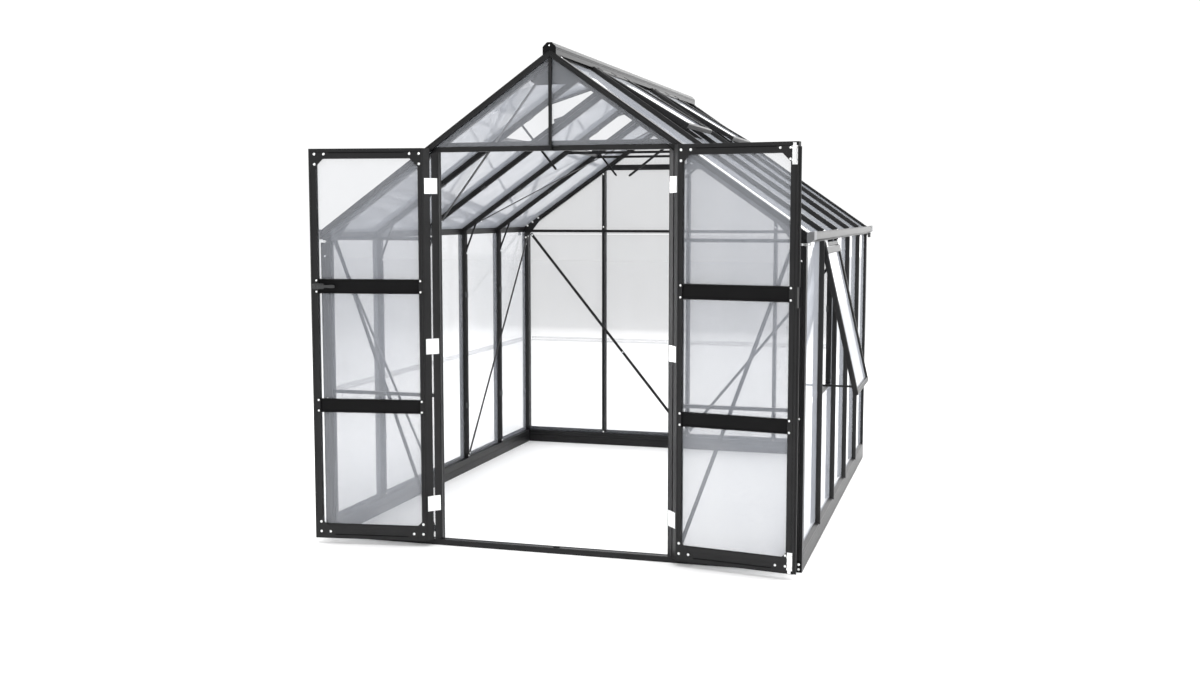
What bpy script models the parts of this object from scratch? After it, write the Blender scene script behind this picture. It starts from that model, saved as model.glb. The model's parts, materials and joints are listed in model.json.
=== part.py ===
"""A walk-in greenhouse with a gable roof, double doors, four roof vents and one side window.

Metres, +Z up, +Y from the doors to the back wall. The origin is on the ground, under the middle
of the front sill. Moving pieces are modelled shut and turned on empties that stand on their hinges.
"""
import math

import bpy
import bmesh
from mathutils import Vector

# Driving dimensions
WIDTH = 2.57
BAY_LENGTH = 0.636
BAYS = 5
EAVE_Z = 1.65
RIDGE_Z = 2.55
FRAME_DEPTH = 0.050
GLASS_THICKNESS = 0.004
GAP = 0.0003

# Layers of every wall and slope, as depths below its outer face
LIP_DEPTH = 0.0167
PANE_OUT = LIP_DEPTH + GAP
PANE_IN = PANE_OUT + GLASS_THICKNESS
BAR_OUT = PANE_IN + GAP

# Frame members
FRONT_SILL_HEIGHT = 0.028
SILL_HEIGHT = 0.087
SILL_LIP_STRAIGHT = 0.096
SILL_LIP_HEIGHT = 0.112
BAR_WIDTH = 0.022
RAFTER_FACE = 0.028
BRACE_WIDTH = 0.020
BRACE_THICKNESS = 0.006
STRAP_THICKNESS = 0.006
EAVE_PLATE_BOTTOM = 1.600
EAVE_RAIL_Z = 1.609
MID_RAIL_Z = 0.790
RAIL_HEIGHT = 0.018
TIE_Z = 2.130
TIE_HEIGHT = 0.016
CROSS_BAR_TOP = 0.0225
RIDGE_BAR_HALF_WIDTH = 0.035
RIDGE_BAR_TOP = 2.585
GUTTER_REACH = 0.035
GUTTER_TOP = 1.653
REAR_LINTEL = (2.058, 2.098)
FRONT_LINTEL = (2.053, 2.078, 2.100)
LINTEL_FRONT_Y = -0.011
STUD_SPACING = WIDTH / 4

# Doors
JAMB_INNER_X = 0.610
JAMB_OUTER_X = 0.650
JAMB_FRONT_Y = -0.0404
PIN_X = 0.640
PIN_Y = -0.045
DOOR_THICKNESS = 0.033
DOOR_BOTTOM = 0.030
DOOR_TOP = 2.072
DOOR_GAP = 0.003
DOOR_STILE = 0.039
DOOR_HINGE_STILE = 0.023
DOOR_TOP_RAIL = 0.050
DOOR_BOTTOM_RAIL = 0.058
DOOR_CROSS_RAILS = ((0.702, 0.772), (1.327, 1.399))
DOOR_PANE_FRONT = 0.014
DOOR_OPEN_DEG = 171.0
GUSSET_LEG = 0.042
MITRE_OFFSET = 0.0025
HINGE_LEAF = (0.006, 0.036, 0.002)
HINGE_HEIGHT = 0.080
HINGE_CENTRES = (0.226, 1.053, 1.880)
ASTRAGAL_REACH = 0.012
HANDLE_Z = 1.363
HANDLE_X = 0.031
HANDLE_BLOCK = (-0.078, -0.015, 0.014)
HANDLE_LEVER = (-0.137, -0.045, 0.0125, 0.0225)
BOLT_X = (0.008, 0.036)
BOLT_LENGTH = 0.096
BOLT_THICKNESS = 0.010
TOP_BOLT_END = 2.066
BOTTOM_BOLT_END = 0.034
BOLT_SLOT_SIDE = 0.004

# Roof vents and side window
VENT_TOP_S = 0.056
VENT_LENGTH = 0.600
VENT_RISE = 0.010
VENT_UNDERSIDE = 0.0165
VENT_SIDE_CLEARANCE = 0.013
VENT_BORDER = 0.026
VENT_BAYS = (1, 3)
VENT_OPEN_DEG = {"left": 18.0, "right": 4.0}
VENT_STAY_LENGTH = 0.440
VENT_STAY_DEG = 68.0
STAY_WIDTH = 0.014
STAY_THICKNESS = 0.004
WINDOW_BAY = 1
WINDOW_X = (1.269, 1.296)
WINDOW_Z = (0.772, 1.592)
WINDOW_BORDER = 0.026
WINDOW_OPEN_DEG = 13.0
WINDOW_STAY_LENGTH = 0.310

HALF = WIDTH / 2
FRONT_Y = -FRAME_DEPTH / 2
INSIDE_FRONT = FRONT_Y + FRAME_DEPTH + GAP
BACK_Y = FRONT_Y + BAY_LENGTH * BAYS
INSIDE_BACK = BACK_Y - FRAME_DEPTH - GAP
PITCH = math.atan((RIDGE_Z - EAVE_Z) / HALF)
SIDES = {"left": -1, "right": 1}


# ---------- helpers ----------

def clear_scene():
    """Remove every object, so that the script can be run again."""
    for old in list(bpy.data.objects):
        bpy.data.objects.remove(old, do_unlink=True)


def material(name, colour, roughness, metallic=0.0, alpha=1.0):
    """A Principled material, made once for each name."""
    found = bpy.data.materials.get(name)
    if found:
        return found
    made = bpy.data.materials.new(name)
    made.use_nodes = True
    shader = made.node_tree.nodes["Principled BSDF"]
    shader.inputs["Base Color"].default_value = (*colour, 1.0)
    shader.inputs["Roughness"].default_value = roughness
    shader.inputs["Metallic"].default_value = metallic
    shader.inputs["Alpha"].default_value = alpha
    return made


def powder_black():
    return material("black_powder_coat", (0.022, 0.022, 0.023), 0.42)


def clear_glass():
    return material("clear_glass", (0.86, 0.90, 0.92), 0.03, alpha=0.25)


def zinc():
    return material("bright_zinc", (0.85, 0.85, 0.86), 0.3, metallic=1.0)


def black_plastic():
    return material("black_plastic", (0.02, 0.02, 0.02), 0.5)


def solid(name, corners, faces, finish):
    """An object from corners and faces, with its faces turned outwards."""
    mesh = bpy.data.meshes.new(name)
    mesh.from_pydata(corners, [], faces)
    work = bmesh.new()
    work.from_mesh(mesh)
    bmesh.ops.recalc_face_normals(work, faces=work.faces)
    work.to_mesh(mesh)
    work.free()
    mesh.materials.append(finish)
    made = bpy.data.objects.new(name, mesh)
    bpy.context.collection.objects.link(made)
    return made


def prism(name, outline, along, low, high, finish):
    """An outline extruded along one axis. Its two coordinates are the other two axes, in X, Y, Z order."""
    places = {"x": lambda a, b, t: (t, a, b), "y": lambda a, b, t: (a, t, b), "z": lambda a, b, t: (a, b, t)}
    place = places[along]
    corners = [place(a, b, t) for t in (low, high) for a, b in outline]
    count = len(outline)
    faces = [tuple(range(count)), tuple(range(2 * count - 1, count - 1, -1))]
    for i in range(count):
        j = (i + 1) % count
        faces.append((i, i + count, j + count, j))
    return solid(name, corners, faces, finish)


def box(name, x, y, z, finish):
    """A box from three (low, high) pairs, given in any order."""
    x, y, z = sorted(x), sorted(y), sorted(z)
    return prism(name, [(x[0], y[0]), (x[1], y[0]), (x[1], y[1]), (x[0], y[1])], "z", z[0], z[1], finish)


def combined(body, others, operation):
    """Join others to body, or cut them out of it, and remove them."""
    for other in others:
        step = body.modifiers.new(operation.lower(), "BOOLEAN")
        step.operation = operation
        step.solver = "EXACT"
        step.object = other
    bpy.context.view_layer.update()
    depsgraph = bpy.context.evaluated_depsgraph_get()
    mesh = bpy.data.meshes.new_from_object(body.evaluated_get(depsgraph))
    body.modifiers.clear()
    body.data = mesh
    for other in others:
        bpy.data.objects.remove(other, do_unlink=True)
    return body


def joined(body, *others):
    return combined(body, others, "UNION")


def cut(body, *others):
    return combined(body, others, "DIFFERENCE")


def bar_outline(start, end, width):
    """The four corners of a straight bar between two points in a plane."""
    line = Vector(end) - Vector(start)
    side = Vector((-line.y, line.x)).normalized() * width / 2
    return [tuple(Vector(start) + side), tuple(Vector(start) - side),
            tuple(Vector(end) - side), tuple(Vector(end) + side)]


def roof_z(x, depth=0.0):
    """Height of the roof at x, at a depth measured square to the slope."""
    return RIDGE_Z - abs(x) * math.tan(PITCH) - depth / math.cos(PITCH)


def roof_x(z, depth=0.0):
    """Distance from the middle at which the roof has this height."""
    return (RIDGE_Z - depth / math.cos(PITCH) - z) / math.tan(PITCH)


def on_slope(side, s, p):
    """The (x, z) of a point s down the slope from the ridge and p above it, square to it."""
    return (side * (s * math.cos(PITCH) + p * math.sin(PITCH)),
            RIDGE_Z - s * math.sin(PITCH) + p * math.cos(PITCH))


def frame_y(number):
    """The plane of a frame: 0 is the front gable and BAYS is the back one."""
    return FRONT_Y + BAY_LENGTH * number


def hinge_empty(name, x, y, z, parent=None):
    """An empty on a joint's axis. Under a parent, the place is still given in the shut position."""
    made = bpy.data.objects.new(name, None)
    bpy.context.collection.objects.link(made)
    made.location = (x, y, z)
    made["shut_place"] = (x, y, z)
    if parent:
        made.parent = parent
        made.location = Vector((x, y, z)) - Vector(parent["shut_place"])
    return made


def hang(piece, empty):
    """Put a piece that is modelled shut onto its hinge."""
    piece.parent = empty
    piece.location = -Vector(empty["shut_place"])
    return piece


# ---------- ground frame and posts ----------

def sill_outline(outer, inner):
    """A sill's section: a low inner ledge for the bars, a groove for the pane and a sloped lip."""
    turn = 1 if outer > inner else -1
    lip = outer - turn * LIP_DEPTH
    return [(inner, 0.0), (outer, 0.0), (outer, SILL_LIP_STRAIGHT), (lip, SILL_LIP_HEIGHT),
            (lip, SILL_HEIGHT), (inner, SILL_HEIGHT)]


def make_sills():
    black = powder_black()
    front = box("front_sill", (-HALF, HALF), (FRONT_Y, -FRONT_Y), (0.0, FRONT_SILL_HEIGHT), black)
    slot = box("slot", (BOLT_SLOT_SIDE, BOLT_X[1] + BOLT_SLOT_SIDE), (-0.016, 0.004), (0.010, 0.040), black)
    cut(front, slot)
    reach = HALF - FRAME_DEPTH - GAP
    prism("rear_sill", sill_outline(BACK_Y, BACK_Y - FRAME_DEPTH), "x", -reach, reach, black)
    for label, side in SIDES.items():
        outline = sill_outline(side * HALF, side * (HALF - FRAME_DEPTH))
        prism(label + "_sill", outline, "y", INSIDE_FRONT, INSIDE_BACK, black)


def make_corner_posts():
    top = roof_z(HALF, FRAME_DEPTH) - GAP
    for label, side in SIDES.items():
        x = (side * (HALF - FRAME_DEPTH), side * HALF)
        box("front_" + label + "_post", x, (FRONT_Y, -FRONT_Y), (FRONT_SILL_HEIGHT + GAP, top), powder_black())
        box("rear_" + label + "_post", x, (BACK_Y - FRAME_DEPTH, BACK_Y), (0.0, top), powder_black())


# ---------- gables and front wall ----------

def chevron(depth_out, depth_in, reach):
    """The outline, in x and z, of a pair of rafters that meet at the ridge."""
    return [(reach, roof_z(reach, depth_in)), (reach, roof_z(reach, depth_out)), (0.0, roof_z(0.0, depth_out)),
            (-reach, roof_z(reach, depth_out)), (-reach, roof_z(reach, depth_in)), (0.0, roof_z(0.0, depth_in))]


def make_gable_rafters():
    """Each gable is a narrow outer face and a deeper inner flange that the pane lies against."""
    black = powder_black()
    for name, outer_y, turn in (("front_gable_rafters", FRONT_Y, 1), ("rear_gable_rafters", BACK_Y, -1)):
        inner_y = outer_y + turn * FRAME_DEPTH
        flange_y = outer_y + turn * BAR_OUT
        face = prism(name, chevron(0.0, RAFTER_FACE, HALF), "y", outer_y, inner_y, black)
        flange = prism("flange", chevron(RAFTER_FACE / 2, FRAME_DEPTH, HALF - GAP), "y", flange_y,
                       inner_y - turn * GAP, black)
        joined(face, flange)


def mitre_points(side, offset, start, end):
    """Two points on the 45 degree face between jamb and door, at a distance from the pin's own plane."""
    step = math.sqrt(0.5)
    points = []
    for s in (start, end):
        points.append((side * (PIN_X - step * s - step * offset), PIN_Y + step * s - step * offset))
    return points


def hinge_leaf(side, turn, centre):
    """One leaf plate, sunk 1 mm into the part that carries it. turn is -1 on the jamb and 1 on the door."""
    start, end, thickness = HINGE_LEAF
    sunk = MITRE_OFFSET + 0.001
    outer = mitre_points(side, turn * (MITRE_OFFSET - thickness), start, end)
    inner = mitre_points(side, turn * sunk, end, start)
    low, high = centre - HINGE_HEIGHT / 2, centre + HINGE_HEIGHT / 2
    return prism("leaf", outer + inner, "z", low, high, zinc())


def make_door_jambs():
    """Each jamb has a 45 degree face in front for the hinges, and a top cut to the rafter."""
    for label, side in SIDES.items():
        near, far = mitre_points(side, -MITRE_OFFSET, 0.004, 0.0449)
        outline = [(side * JAMB_INNER_X, -FRONT_Y), (side * JAMB_INNER_X, far[1]), (near[0], JAMB_FRONT_Y),
                   (side * JAMB_OUTER_X, JAMB_FRONT_Y), (side * JAMB_OUTER_X, -FRONT_Y)]
        jamb = prism(label + "_door_jamb", outline, "z", FRONT_SILL_HEIGHT + GAP, RIDGE_Z, powder_black())
        for corner in jamb.data.vertices:
            if corner.co.z > EAVE_Z:
                corner.co.z = roof_z(corner.co.x, FRAME_DEPTH) - GAP * 2
        joined(jamb, *[hinge_leaf(side, -1, centre) for centre in HINGE_CENTRES])


def make_door_lintel():
    """A face that the doors close on, an upright flange behind the gable pane, and a slot for the bolt."""
    black = powder_black()
    bottom, face_top, flange_top = FRONT_LINTEL
    lower = JAMB_INNER_X - GAP
    shoulder = roof_z(lower, FRAME_DEPTH) - GAP * 2
    middle = roof_x(face_top, FRAME_DEPTH) - GAP * 2
    upper = roof_x(flange_top, FRAME_DEPTH) - GAP * 2
    face = prism("door_lintel", [(-lower, bottom), (lower, bottom), (lower, shoulder), (middle, face_top),
                                 (-middle, face_top), (-lower, shoulder)],
                 "y", LINTEL_FRONT_Y, -FRONT_Y, black)
    sunk = face_top - 0.005
    flange = prism("flange", [(-middle, sunk), (middle, sunk), (middle, face_top), (upper, flange_top),
                              (-upper, flange_top), (-middle, face_top)],
                   "y", FRONT_Y + BAR_OUT, -FRONT_Y - 0.001, black)
    joined(face, flange)
    cut(face, box("slot", (BOLT_SLOT_SIDE, BOLT_X[1] + BOLT_SLOT_SIDE), (-0.020, 0.004), (2.040, 2.0745), black))


def make_front_gable_mullion():
    half = 0.0075
    top = roof_z(half, RAFTER_FACE) - GAP * 2
    box("front_gable_mullion", (-half, half), (FRONT_Y, FRONT_Y + LIP_DEPTH), (FRONT_LINTEL[1] + GAP, top),
        powder_black())


def make_front_bay_rails():
    """An eave rail, a middle rail and a diagonal brace beside the doorway, bolted into one frame."""
    black = powder_black()
    rail_y = (FRONT_Y + BAR_OUT, 0.015)
    for label, side in SIDES.items():
        inner, outer = JAMB_OUTER_X + GAP, HALF - FRAME_DEPTH - GAP
        rails = []
        for name, z in (("front_" + label + "_bay_rails", EAVE_RAIL_Z), ("rail", MID_RAIL_Z)):
            rails.append(box(name, (side * inner, side * outer), rail_y,
                             (z - RAIL_HEIGHT / 2, z + RAIL_HEIGHT / 2), black))
        line = bar_outline((side * (outer - 0.012), EAVE_RAIL_Z), (side * (inner + 0.012), 0.060), BRACE_WIDTH)
        brace = prism("brace", line, "y", 0.0, BRACE_THICKNESS, black)
        joined(rails[0], rails[1], brace)


# ---------- arches, ridge and gutters ----------

def make_arch(number, has_cross_bars, has_window_rail):
    """Two wall bars and two rafters in one plane, with a collar tie and a strap at each eave."""
    black = powder_black()
    name = "frame_arch_" + str(number)
    y = frame_y(number)
    outer, inner = HALF - BAR_OUT, HALF - FRAME_DEPTH
    foot = SILL_HEIGHT + GAP
    outline = [(outer, foot), (outer, roof_z(outer, BAR_OUT)), (0.0, roof_z(0.0, BAR_OUT)),
               (-outer, roof_z(outer, BAR_OUT)), (-outer, foot), (-inner, foot),
               (-inner, roof_z(inner, FRAME_DEPTH)), (0.0, roof_z(0.0, FRAME_DEPTH)),
               (inner, roof_z(inner, FRAME_DEPTH)), (inner, foot)]
    arch = prism(name, outline, "y", y - BAR_WIDTH / 2, y + BAR_WIDTH / 2, black)
    thin = (y - STRAP_THICKNESS / 2, y + STRAP_THICKNESS / 2)
    tie_reach = roof_x(TIE_Z, FRAME_DEPTH) + 0.015
    extras = [box("tie", (-tie_reach, tie_reach), thin, (TIE_Z - TIE_HEIGHT / 2, TIE_Z + TIE_HEIGHT / 2), black)]
    for side in SIDES.values():
        strap = bar_outline((side * (inner + 0.010), 1.480), (side * (inner - 0.075), 1.690), 0.012)
        extras.append(prism("strap", strap, "y", thin[0], thin[1], black))
    bay_end = frame_y(number + 1) - BAR_WIDTH / 2 - GAP
    if has_cross_bars:
        s = VENT_TOP_S + VENT_LENGTH
        for side in SIDES.values():
            section = [on_slope(side, s - 0.016, -CROSS_BAR_TOP), on_slope(side, s + 0.009, -CROSS_BAR_TOP),
                       on_slope(side, s + 0.009, -0.045), on_slope(side, s - 0.016, -0.045)]
            extras.append(prism("cross_bar", section, "y", y, bay_end, black))
    if has_window_rail:
        extras.append(box("window_rail", (inner + 0.004, outer - 0.001), (y, bay_end),
                          (WINDOW_Z[0] - 0.020, WINDOW_Z[0] - 0.001), black))
    joined(arch, *extras)


def make_arches():
    for number in range(1, BAYS):
        make_arch(number, number in VENT_BAYS, number == WINDOW_BAY)


def make_ridge_bar():
    """A capping that sits astride both slopes and carries the vents' hinges."""
    half = RIDGE_BAR_HALF_WIDTH
    low = roof_z(half) + GAP
    outline = [(-half, low), (0.0, RIDGE_Z + GAP), (half, low), (half, RIDGE_BAR_TOP - 0.022),
               (0.012, RIDGE_BAR_TOP), (-0.012, RIDGE_BAR_TOP), (-half, RIDGE_BAR_TOP - 0.022)]
    prism("ridge_bar", outline, "y", FRONT_Y - 0.006, BACK_Y + 0.006, powder_black())


def make_gutters():
    """An eave plate between the gables, with a gutter along its outer side."""
    black = powder_black()
    for label, side in SIDES.items():
        inner = HALF - PANE_IN
        top = roof_z(inner, PANE_IN) - GAP * 2
        edge = roof_z(HALF, PANE_IN) - GAP * 2
        plate = prism(label + "_gutter", [(side * inner, EAVE_PLATE_BOTTOM), (side * 1.292, EAVE_PLATE_BOTTOM),
                                          (side * 1.292, 1.6185), (side * HALF, edge), (side * inner, top)],
                      "y", INSIDE_FRONT, INSIDE_BACK, black)
        start, lip = HALF + 2 * GAP, HALF + GUTTER_REACH
        section = [(start, 1.604), (1.300, 1.604), (lip, 1.616), (lip, GUTTER_TOP), (lip - 0.003, GUTTER_TOP),
                   (lip - 0.003, 1.6185), (1.298, 1.609), (start, 1.609)]
        channel = prism("channel", [(side * x, z) for x, z in section], "y", FRONT_Y - 0.005, BACK_Y + 0.005, black)
        joined(plate, channel)


# ---------- braces and back wall ----------

def make_side_braces():
    """Flat bars from each top corner of a side wall down to the foot of a wall bar."""
    for label, side in SIDES.items():
        outer = side * (HALF - FRAME_DEPTH - GAP)
        x = sorted((outer, outer - side * BRACE_THICKNESS))
        for end, top_y, foot_frame in (("front", INSIDE_FRONT + 0.012, 2), ("rear", INSIDE_BACK - 0.012, 3)):
            line = bar_outline((top_y, 1.580), (frame_y(foot_frame), 0.110), BRACE_WIDTH)
            prism(end + "_" + label + "_brace", line, "x", x[0], x[1], powder_black())


def make_rear_wall():
    """Three studs, the eave rail and the upper rail, and in front of them a V brace."""
    black = powder_black()
    y = (BACK_Y - FRAME_DEPTH, BACK_Y - BAR_OUT)
    foot = SILL_HEIGHT + GAP
    half = BAR_WIDTH / 2
    reach = HALF - FRAME_DEPTH - GAP
    grid = box("rear_wall_studs", (-half, half), y, (foot, roof_z(half, FRAME_DEPTH) - GAP * 2), black)
    pieces = []
    for side in SIDES.values():
        x = side * STUD_SPACING
        top = roof_z(abs(x) + half, FRAME_DEPTH) - GAP * 2
        pieces.append(box("stud", (x - half, x + half), y, (foot, top), black))
    pieces.append(box("rail", (-reach, reach), (y[0] + 0.002, y[1] - 0.002),
                      (EAVE_RAIL_Z - 0.010, EAVE_RAIL_Z + 0.010), black))
    low, high = REAR_LINTEL
    a, b = roof_x(low, FRAME_DEPTH) - GAP * 2, roof_x(high, FRAME_DEPTH) - GAP * 2
    pieces.append(prism("lintel", [(-a, low), (a, low), (b, high), (-b, high)], "y", y[0] + 0.002, y[1] - 0.002,
                        black))
    joined(grid, *pieces)
    front = BACK_Y - FRAME_DEPTH - GAP
    arms = []
    for name, side in (("rear_wall_brace", -1), ("arm", 1)):
        line = bar_outline((side * (reach - 0.022), 1.590), (side * 0.004, 0.120), BRACE_WIDTH)
        arms.append(prism(name, line, "y", front - BRACE_THICKNESS, front, black))
    joined(arms[0], arms[1])


# ---------- fixed glass ----------

def notched(outline_start, edge, notches, far):
    """Points of a rectangle in (a, b) whose low edge has notches, each (start, end, depth)."""
    low, high = outline_start
    points = [(low, edge)]
    for start, end, depth in notches:
        points += [(start, edge), (start, depth), (end, depth), (end, edge)]
    return points + [(high, edge), (high, far), (low, far)]


def make_wall_glass():
    glass = clear_glass()
    low = SILL_HEIGHT + GAP
    high = EAVE_PLATE_BOTTOM - GAP
    start, end = frame_y(WINDOW_BAY) + 0.006, frame_y(WINDOW_BAY + 1) - 0.006
    for label, side in SIDES.items():
        x = sorted((side * (HALF - PANE_OUT), side * (HALF - PANE_IN)))
        notches = [(start, end, WINDOW_Z[0] - 0.007)] if label == "right" else []
        outline = notched((INSIDE_FRONT, INSIDE_BACK), high, notches, low)
        prism(label + "_wall_glass", outline, "x", x[0], x[1], glass)
        inner, outer = side * (JAMB_OUTER_X + GAP), side * (HALF - FRAME_DEPTH - GAP)
        bottom = FRONT_SILL_HEIGHT + GAP
        bay = [(inner, bottom), (outer, bottom), (outer, roof_z(outer, RAFTER_FACE) - GAP * 2),
               (inner, roof_z(inner, RAFTER_FACE) - GAP * 2)]
        prism("front_" + label + "_glass", bay, "y", FRONT_Y + PANE_OUT, FRONT_Y + PANE_IN, glass)
    base = FRONT_LINTEL[1] + GAP
    reach = roof_x(base, RAFTER_FACE) - GAP * 2
    prism("front_gable_glass", [(-reach, base), (reach, base), (0.0, roof_z(0.0, RAFTER_FACE) - GAP * 2)], "y",
          FRONT_Y + PANE_OUT, FRONT_Y + PANE_IN, glass)
    edge = HALF - FRAME_DEPTH - GAP
    corner = roof_z(edge, RAFTER_FACE) - GAP * 2
    prism("rear_wall_glass", [(-edge, low), (edge, low), (edge, corner),
                              (0.0, roof_z(0.0, RAFTER_FACE) - GAP * 2), (-edge, corner)], "y",
          BACK_Y - PANE_IN, BACK_Y - PANE_OUT, glass)


def slope_plate(name, side, outline, p_low, p_high, finish):
    """An outline in y and distance down the slope, between two heights square to the slope."""
    count = len(outline)
    corners = []
    for p in (p_low, p_high):
        for y, s in outline:
            x, z = on_slope(side, s, p)
            corners.append((x, y, z))
    faces = [tuple(range(count)), tuple(range(2 * count - 1, count - 1, -1))]
    for i in range(count):
        j = (i + 1) % count
        faces.append((i, i + count, j + count, j))
    return solid(name, corners, faces, finish)


def make_roof_glass():
    """One sheet for each slope, with a notch at the ridge for each vent."""
    top_edge = (RIDGE_BAR_HALF_WIDTH + 0.001) / math.cos(PITCH)
    bottom_edge = (HALF + 0.005) / math.cos(PITCH)
    depth = VENT_TOP_S + VENT_LENGTH - 0.004
    notches = [(frame_y(bay) + 0.006, frame_y(bay + 1) - 0.006, depth) for bay in VENT_BAYS]
    outline = notched((INSIDE_FRONT, INSIDE_BACK), top_edge, notches, bottom_edge)
    for label, side in SIDES.items():
        slope_plate(label + "_roof_glass", side, outline, -PANE_IN, -PANE_OUT, clear_glass())


# ---------- doors ----------

def door_hinge(label):
    side = SIDES[label]
    empty = hinge_empty(label + "_door_hinge", side * PIN_X, PIN_Y, 0.0)
    empty.rotation_euler.z = side * math.radians(DOOR_OPEN_DEG)
    return empty


def door_opening():
    """The clear opening inside a door's frame, as (x, z) pairs on the right-hand side."""
    back = PIN_X - DOOR_THICKNESS - MITRE_OFFSET * math.sqrt(2)
    x = (DOOR_GAP + DOOR_STILE, back - DOOR_HINGE_STILE)
    return x, (DOOR_BOTTOM + DOOR_BOTTOM_RAIL, DOOR_TOP - DOOR_TOP_RAIL), back


def make_door_frame(label, empty):
    """A door frame, mitred at its hinge side, with two cross rails, four gussets and three hinge leaves."""
    black = powder_black()
    side = SIDES[label]
    (x0, x1), (z0, z1), back = door_opening()
    inside_y = PIN_Y + DOOR_THICKNESS
    outline = [(side * DOOR_GAP, PIN_Y), (side * (back + DOOR_THICKNESS), PIN_Y), (side * back, inside_y),
               (side * DOOR_GAP, inside_y)]
    frame = prism(label + "_door_frame", outline, "z", DOOR_BOTTOM, DOOR_TOP, black)
    cut(frame, box("hole", (side * x0, side * x1), (PIN_Y - 0.01, inside_y + 0.01), (z0, z1), black))
    pane_back = PIN_Y + DOOR_PANE_FRONT + GLASS_THICKNESS + GAP
    pieces = []
    for low, high in DOOR_CROSS_RAILS:
        pieces.append(box("rail", (side * (x0 - 0.004), side * (x1 + 0.004)), (pane_back, inside_y - 0.0006),
                          (low, high), black))
    for x, toward_x in ((x0, 1), (x1, -1)):
        for z, toward_z in ((z0, 1), (z1, -1)):
            corner = (x - 0.010 * toward_x, z - 0.010 * toward_z)
            leg = GUSSET_LEG + 0.020
            triangle = [corner, (corner[0] + leg * toward_x, corner[1]), (corner[0], corner[1] + leg * toward_z)]
            pieces.append(prism("gusset", [(side * a, b) for a, b in triangle], "y", inside_y - 0.005,
                                inside_y - 0.0012, black))
    pieces += [hinge_leaf(side, 1, centre) for centre in HINGE_CENTRES]
    joined(frame, *pieces)
    hang(frame, empty)
    return frame


def make_astragal(frame):
    """The strip on the right door that the left door closes onto, notched where the handle turns."""
    black = powder_black()
    inside_y = PIN_Y + DOOR_THICKNESS
    front, back = inside_y + 0.0007, inside_y + 0.006
    outline = [(-ASTRAGAL_REACH, front), (0.0035, front), (0.0035, inside_y - 0.008), (0.0070, inside_y - 0.008),
               (0.0070, back), (-ASTRAGAL_REACH, back)]
    strip = prism("strip", outline, "z", DOOR_BOTTOM + 0.003, FRONT_LINTEL[0] - 0.005, black)
    room = box("room", (-0.060, -0.0005), (front - 0.02, back + 0.02), (HANDLE_Z - 0.062, HANDLE_Z + 0.035), black)
    cut(strip, room)
    frame.location = (0.0, 0.0, 0.0)
    frame.parent = None
    joined(frame, strip)


def make_door_glass(label, empty):
    side = SIDES[label]
    (x0, x1), (z0, z1), _ = door_opening()
    front = PIN_Y + DOOR_PANE_FRONT
    pane = box(label + "_door_glass", (side * (x0 + GAP), side * (x1 - GAP)), (front, front + GLASS_THICKNESS),
               (z0 + GAP, z1 - GAP), clear_glass())
    hang(pane, empty)


def make_door_handle(door_empty):
    """A block that turns on the cross rail, with a lever towards the hinges."""
    plastic = black_plastic()
    face = PIN_Y + DOOR_THICKNESS + GAP
    empty = hinge_empty("left_door_handle_axis", -HANDLE_X, face, HANDLE_Z, parent=door_empty)
    end, start, thickness = HANDLE_BLOCK
    block = box("left_door_handle", (end, start), (face, face + thickness), (HANDLE_Z - 0.0155, HANDLE_Z + 0.0155),
                plastic)
    tip, root, near, far = HANDLE_LEVER
    lever = box("lever", (tip, root), (face + near, face + far), (HANDLE_Z - 0.0085, HANDLE_Z + 0.0085), plastic)
    joined(block, lever)
    hang(block, empty)


def make_door_bolts(door_empty):
    """Two slide bolts on the inside of the right door's free stile."""
    near = PIN_Y + DOOR_THICKNESS + GAP
    far = near + BOLT_THICKNESS
    middle = sum(BOLT_X) / 2
    ends = (("right_door_top_bolt", TOP_BOLT_END, -1), ("right_door_bottom_bolt", BOTTOM_BOLT_END, 1))
    for name, end, turn in ends:
        body = box(name, BOLT_X, (near, far), (end, end + turn * BOLT_LENGTH), zinc())
        tab_z = end + turn * BOLT_LENGTH * 0.7
        tab = box("tab", (middle - 0.005, middle + 0.005), (far - 0.002, far + 0.010), (tab_z - 0.005, tab_z + 0.005),
                  zinc())
        joined(body, tab)
        hang(body, door_empty)


def make_doors():
    for label in SIDES:
        empty = door_hinge(label)
        frame = make_door_frame(label, empty)
        make_door_glass(label, empty)
        if label == "left":
            make_door_handle(empty)
        else:
            make_astragal(frame)
            hang(frame, empty)
            make_door_bolts(empty)


# ---------- roof vents and side window ----------

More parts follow.
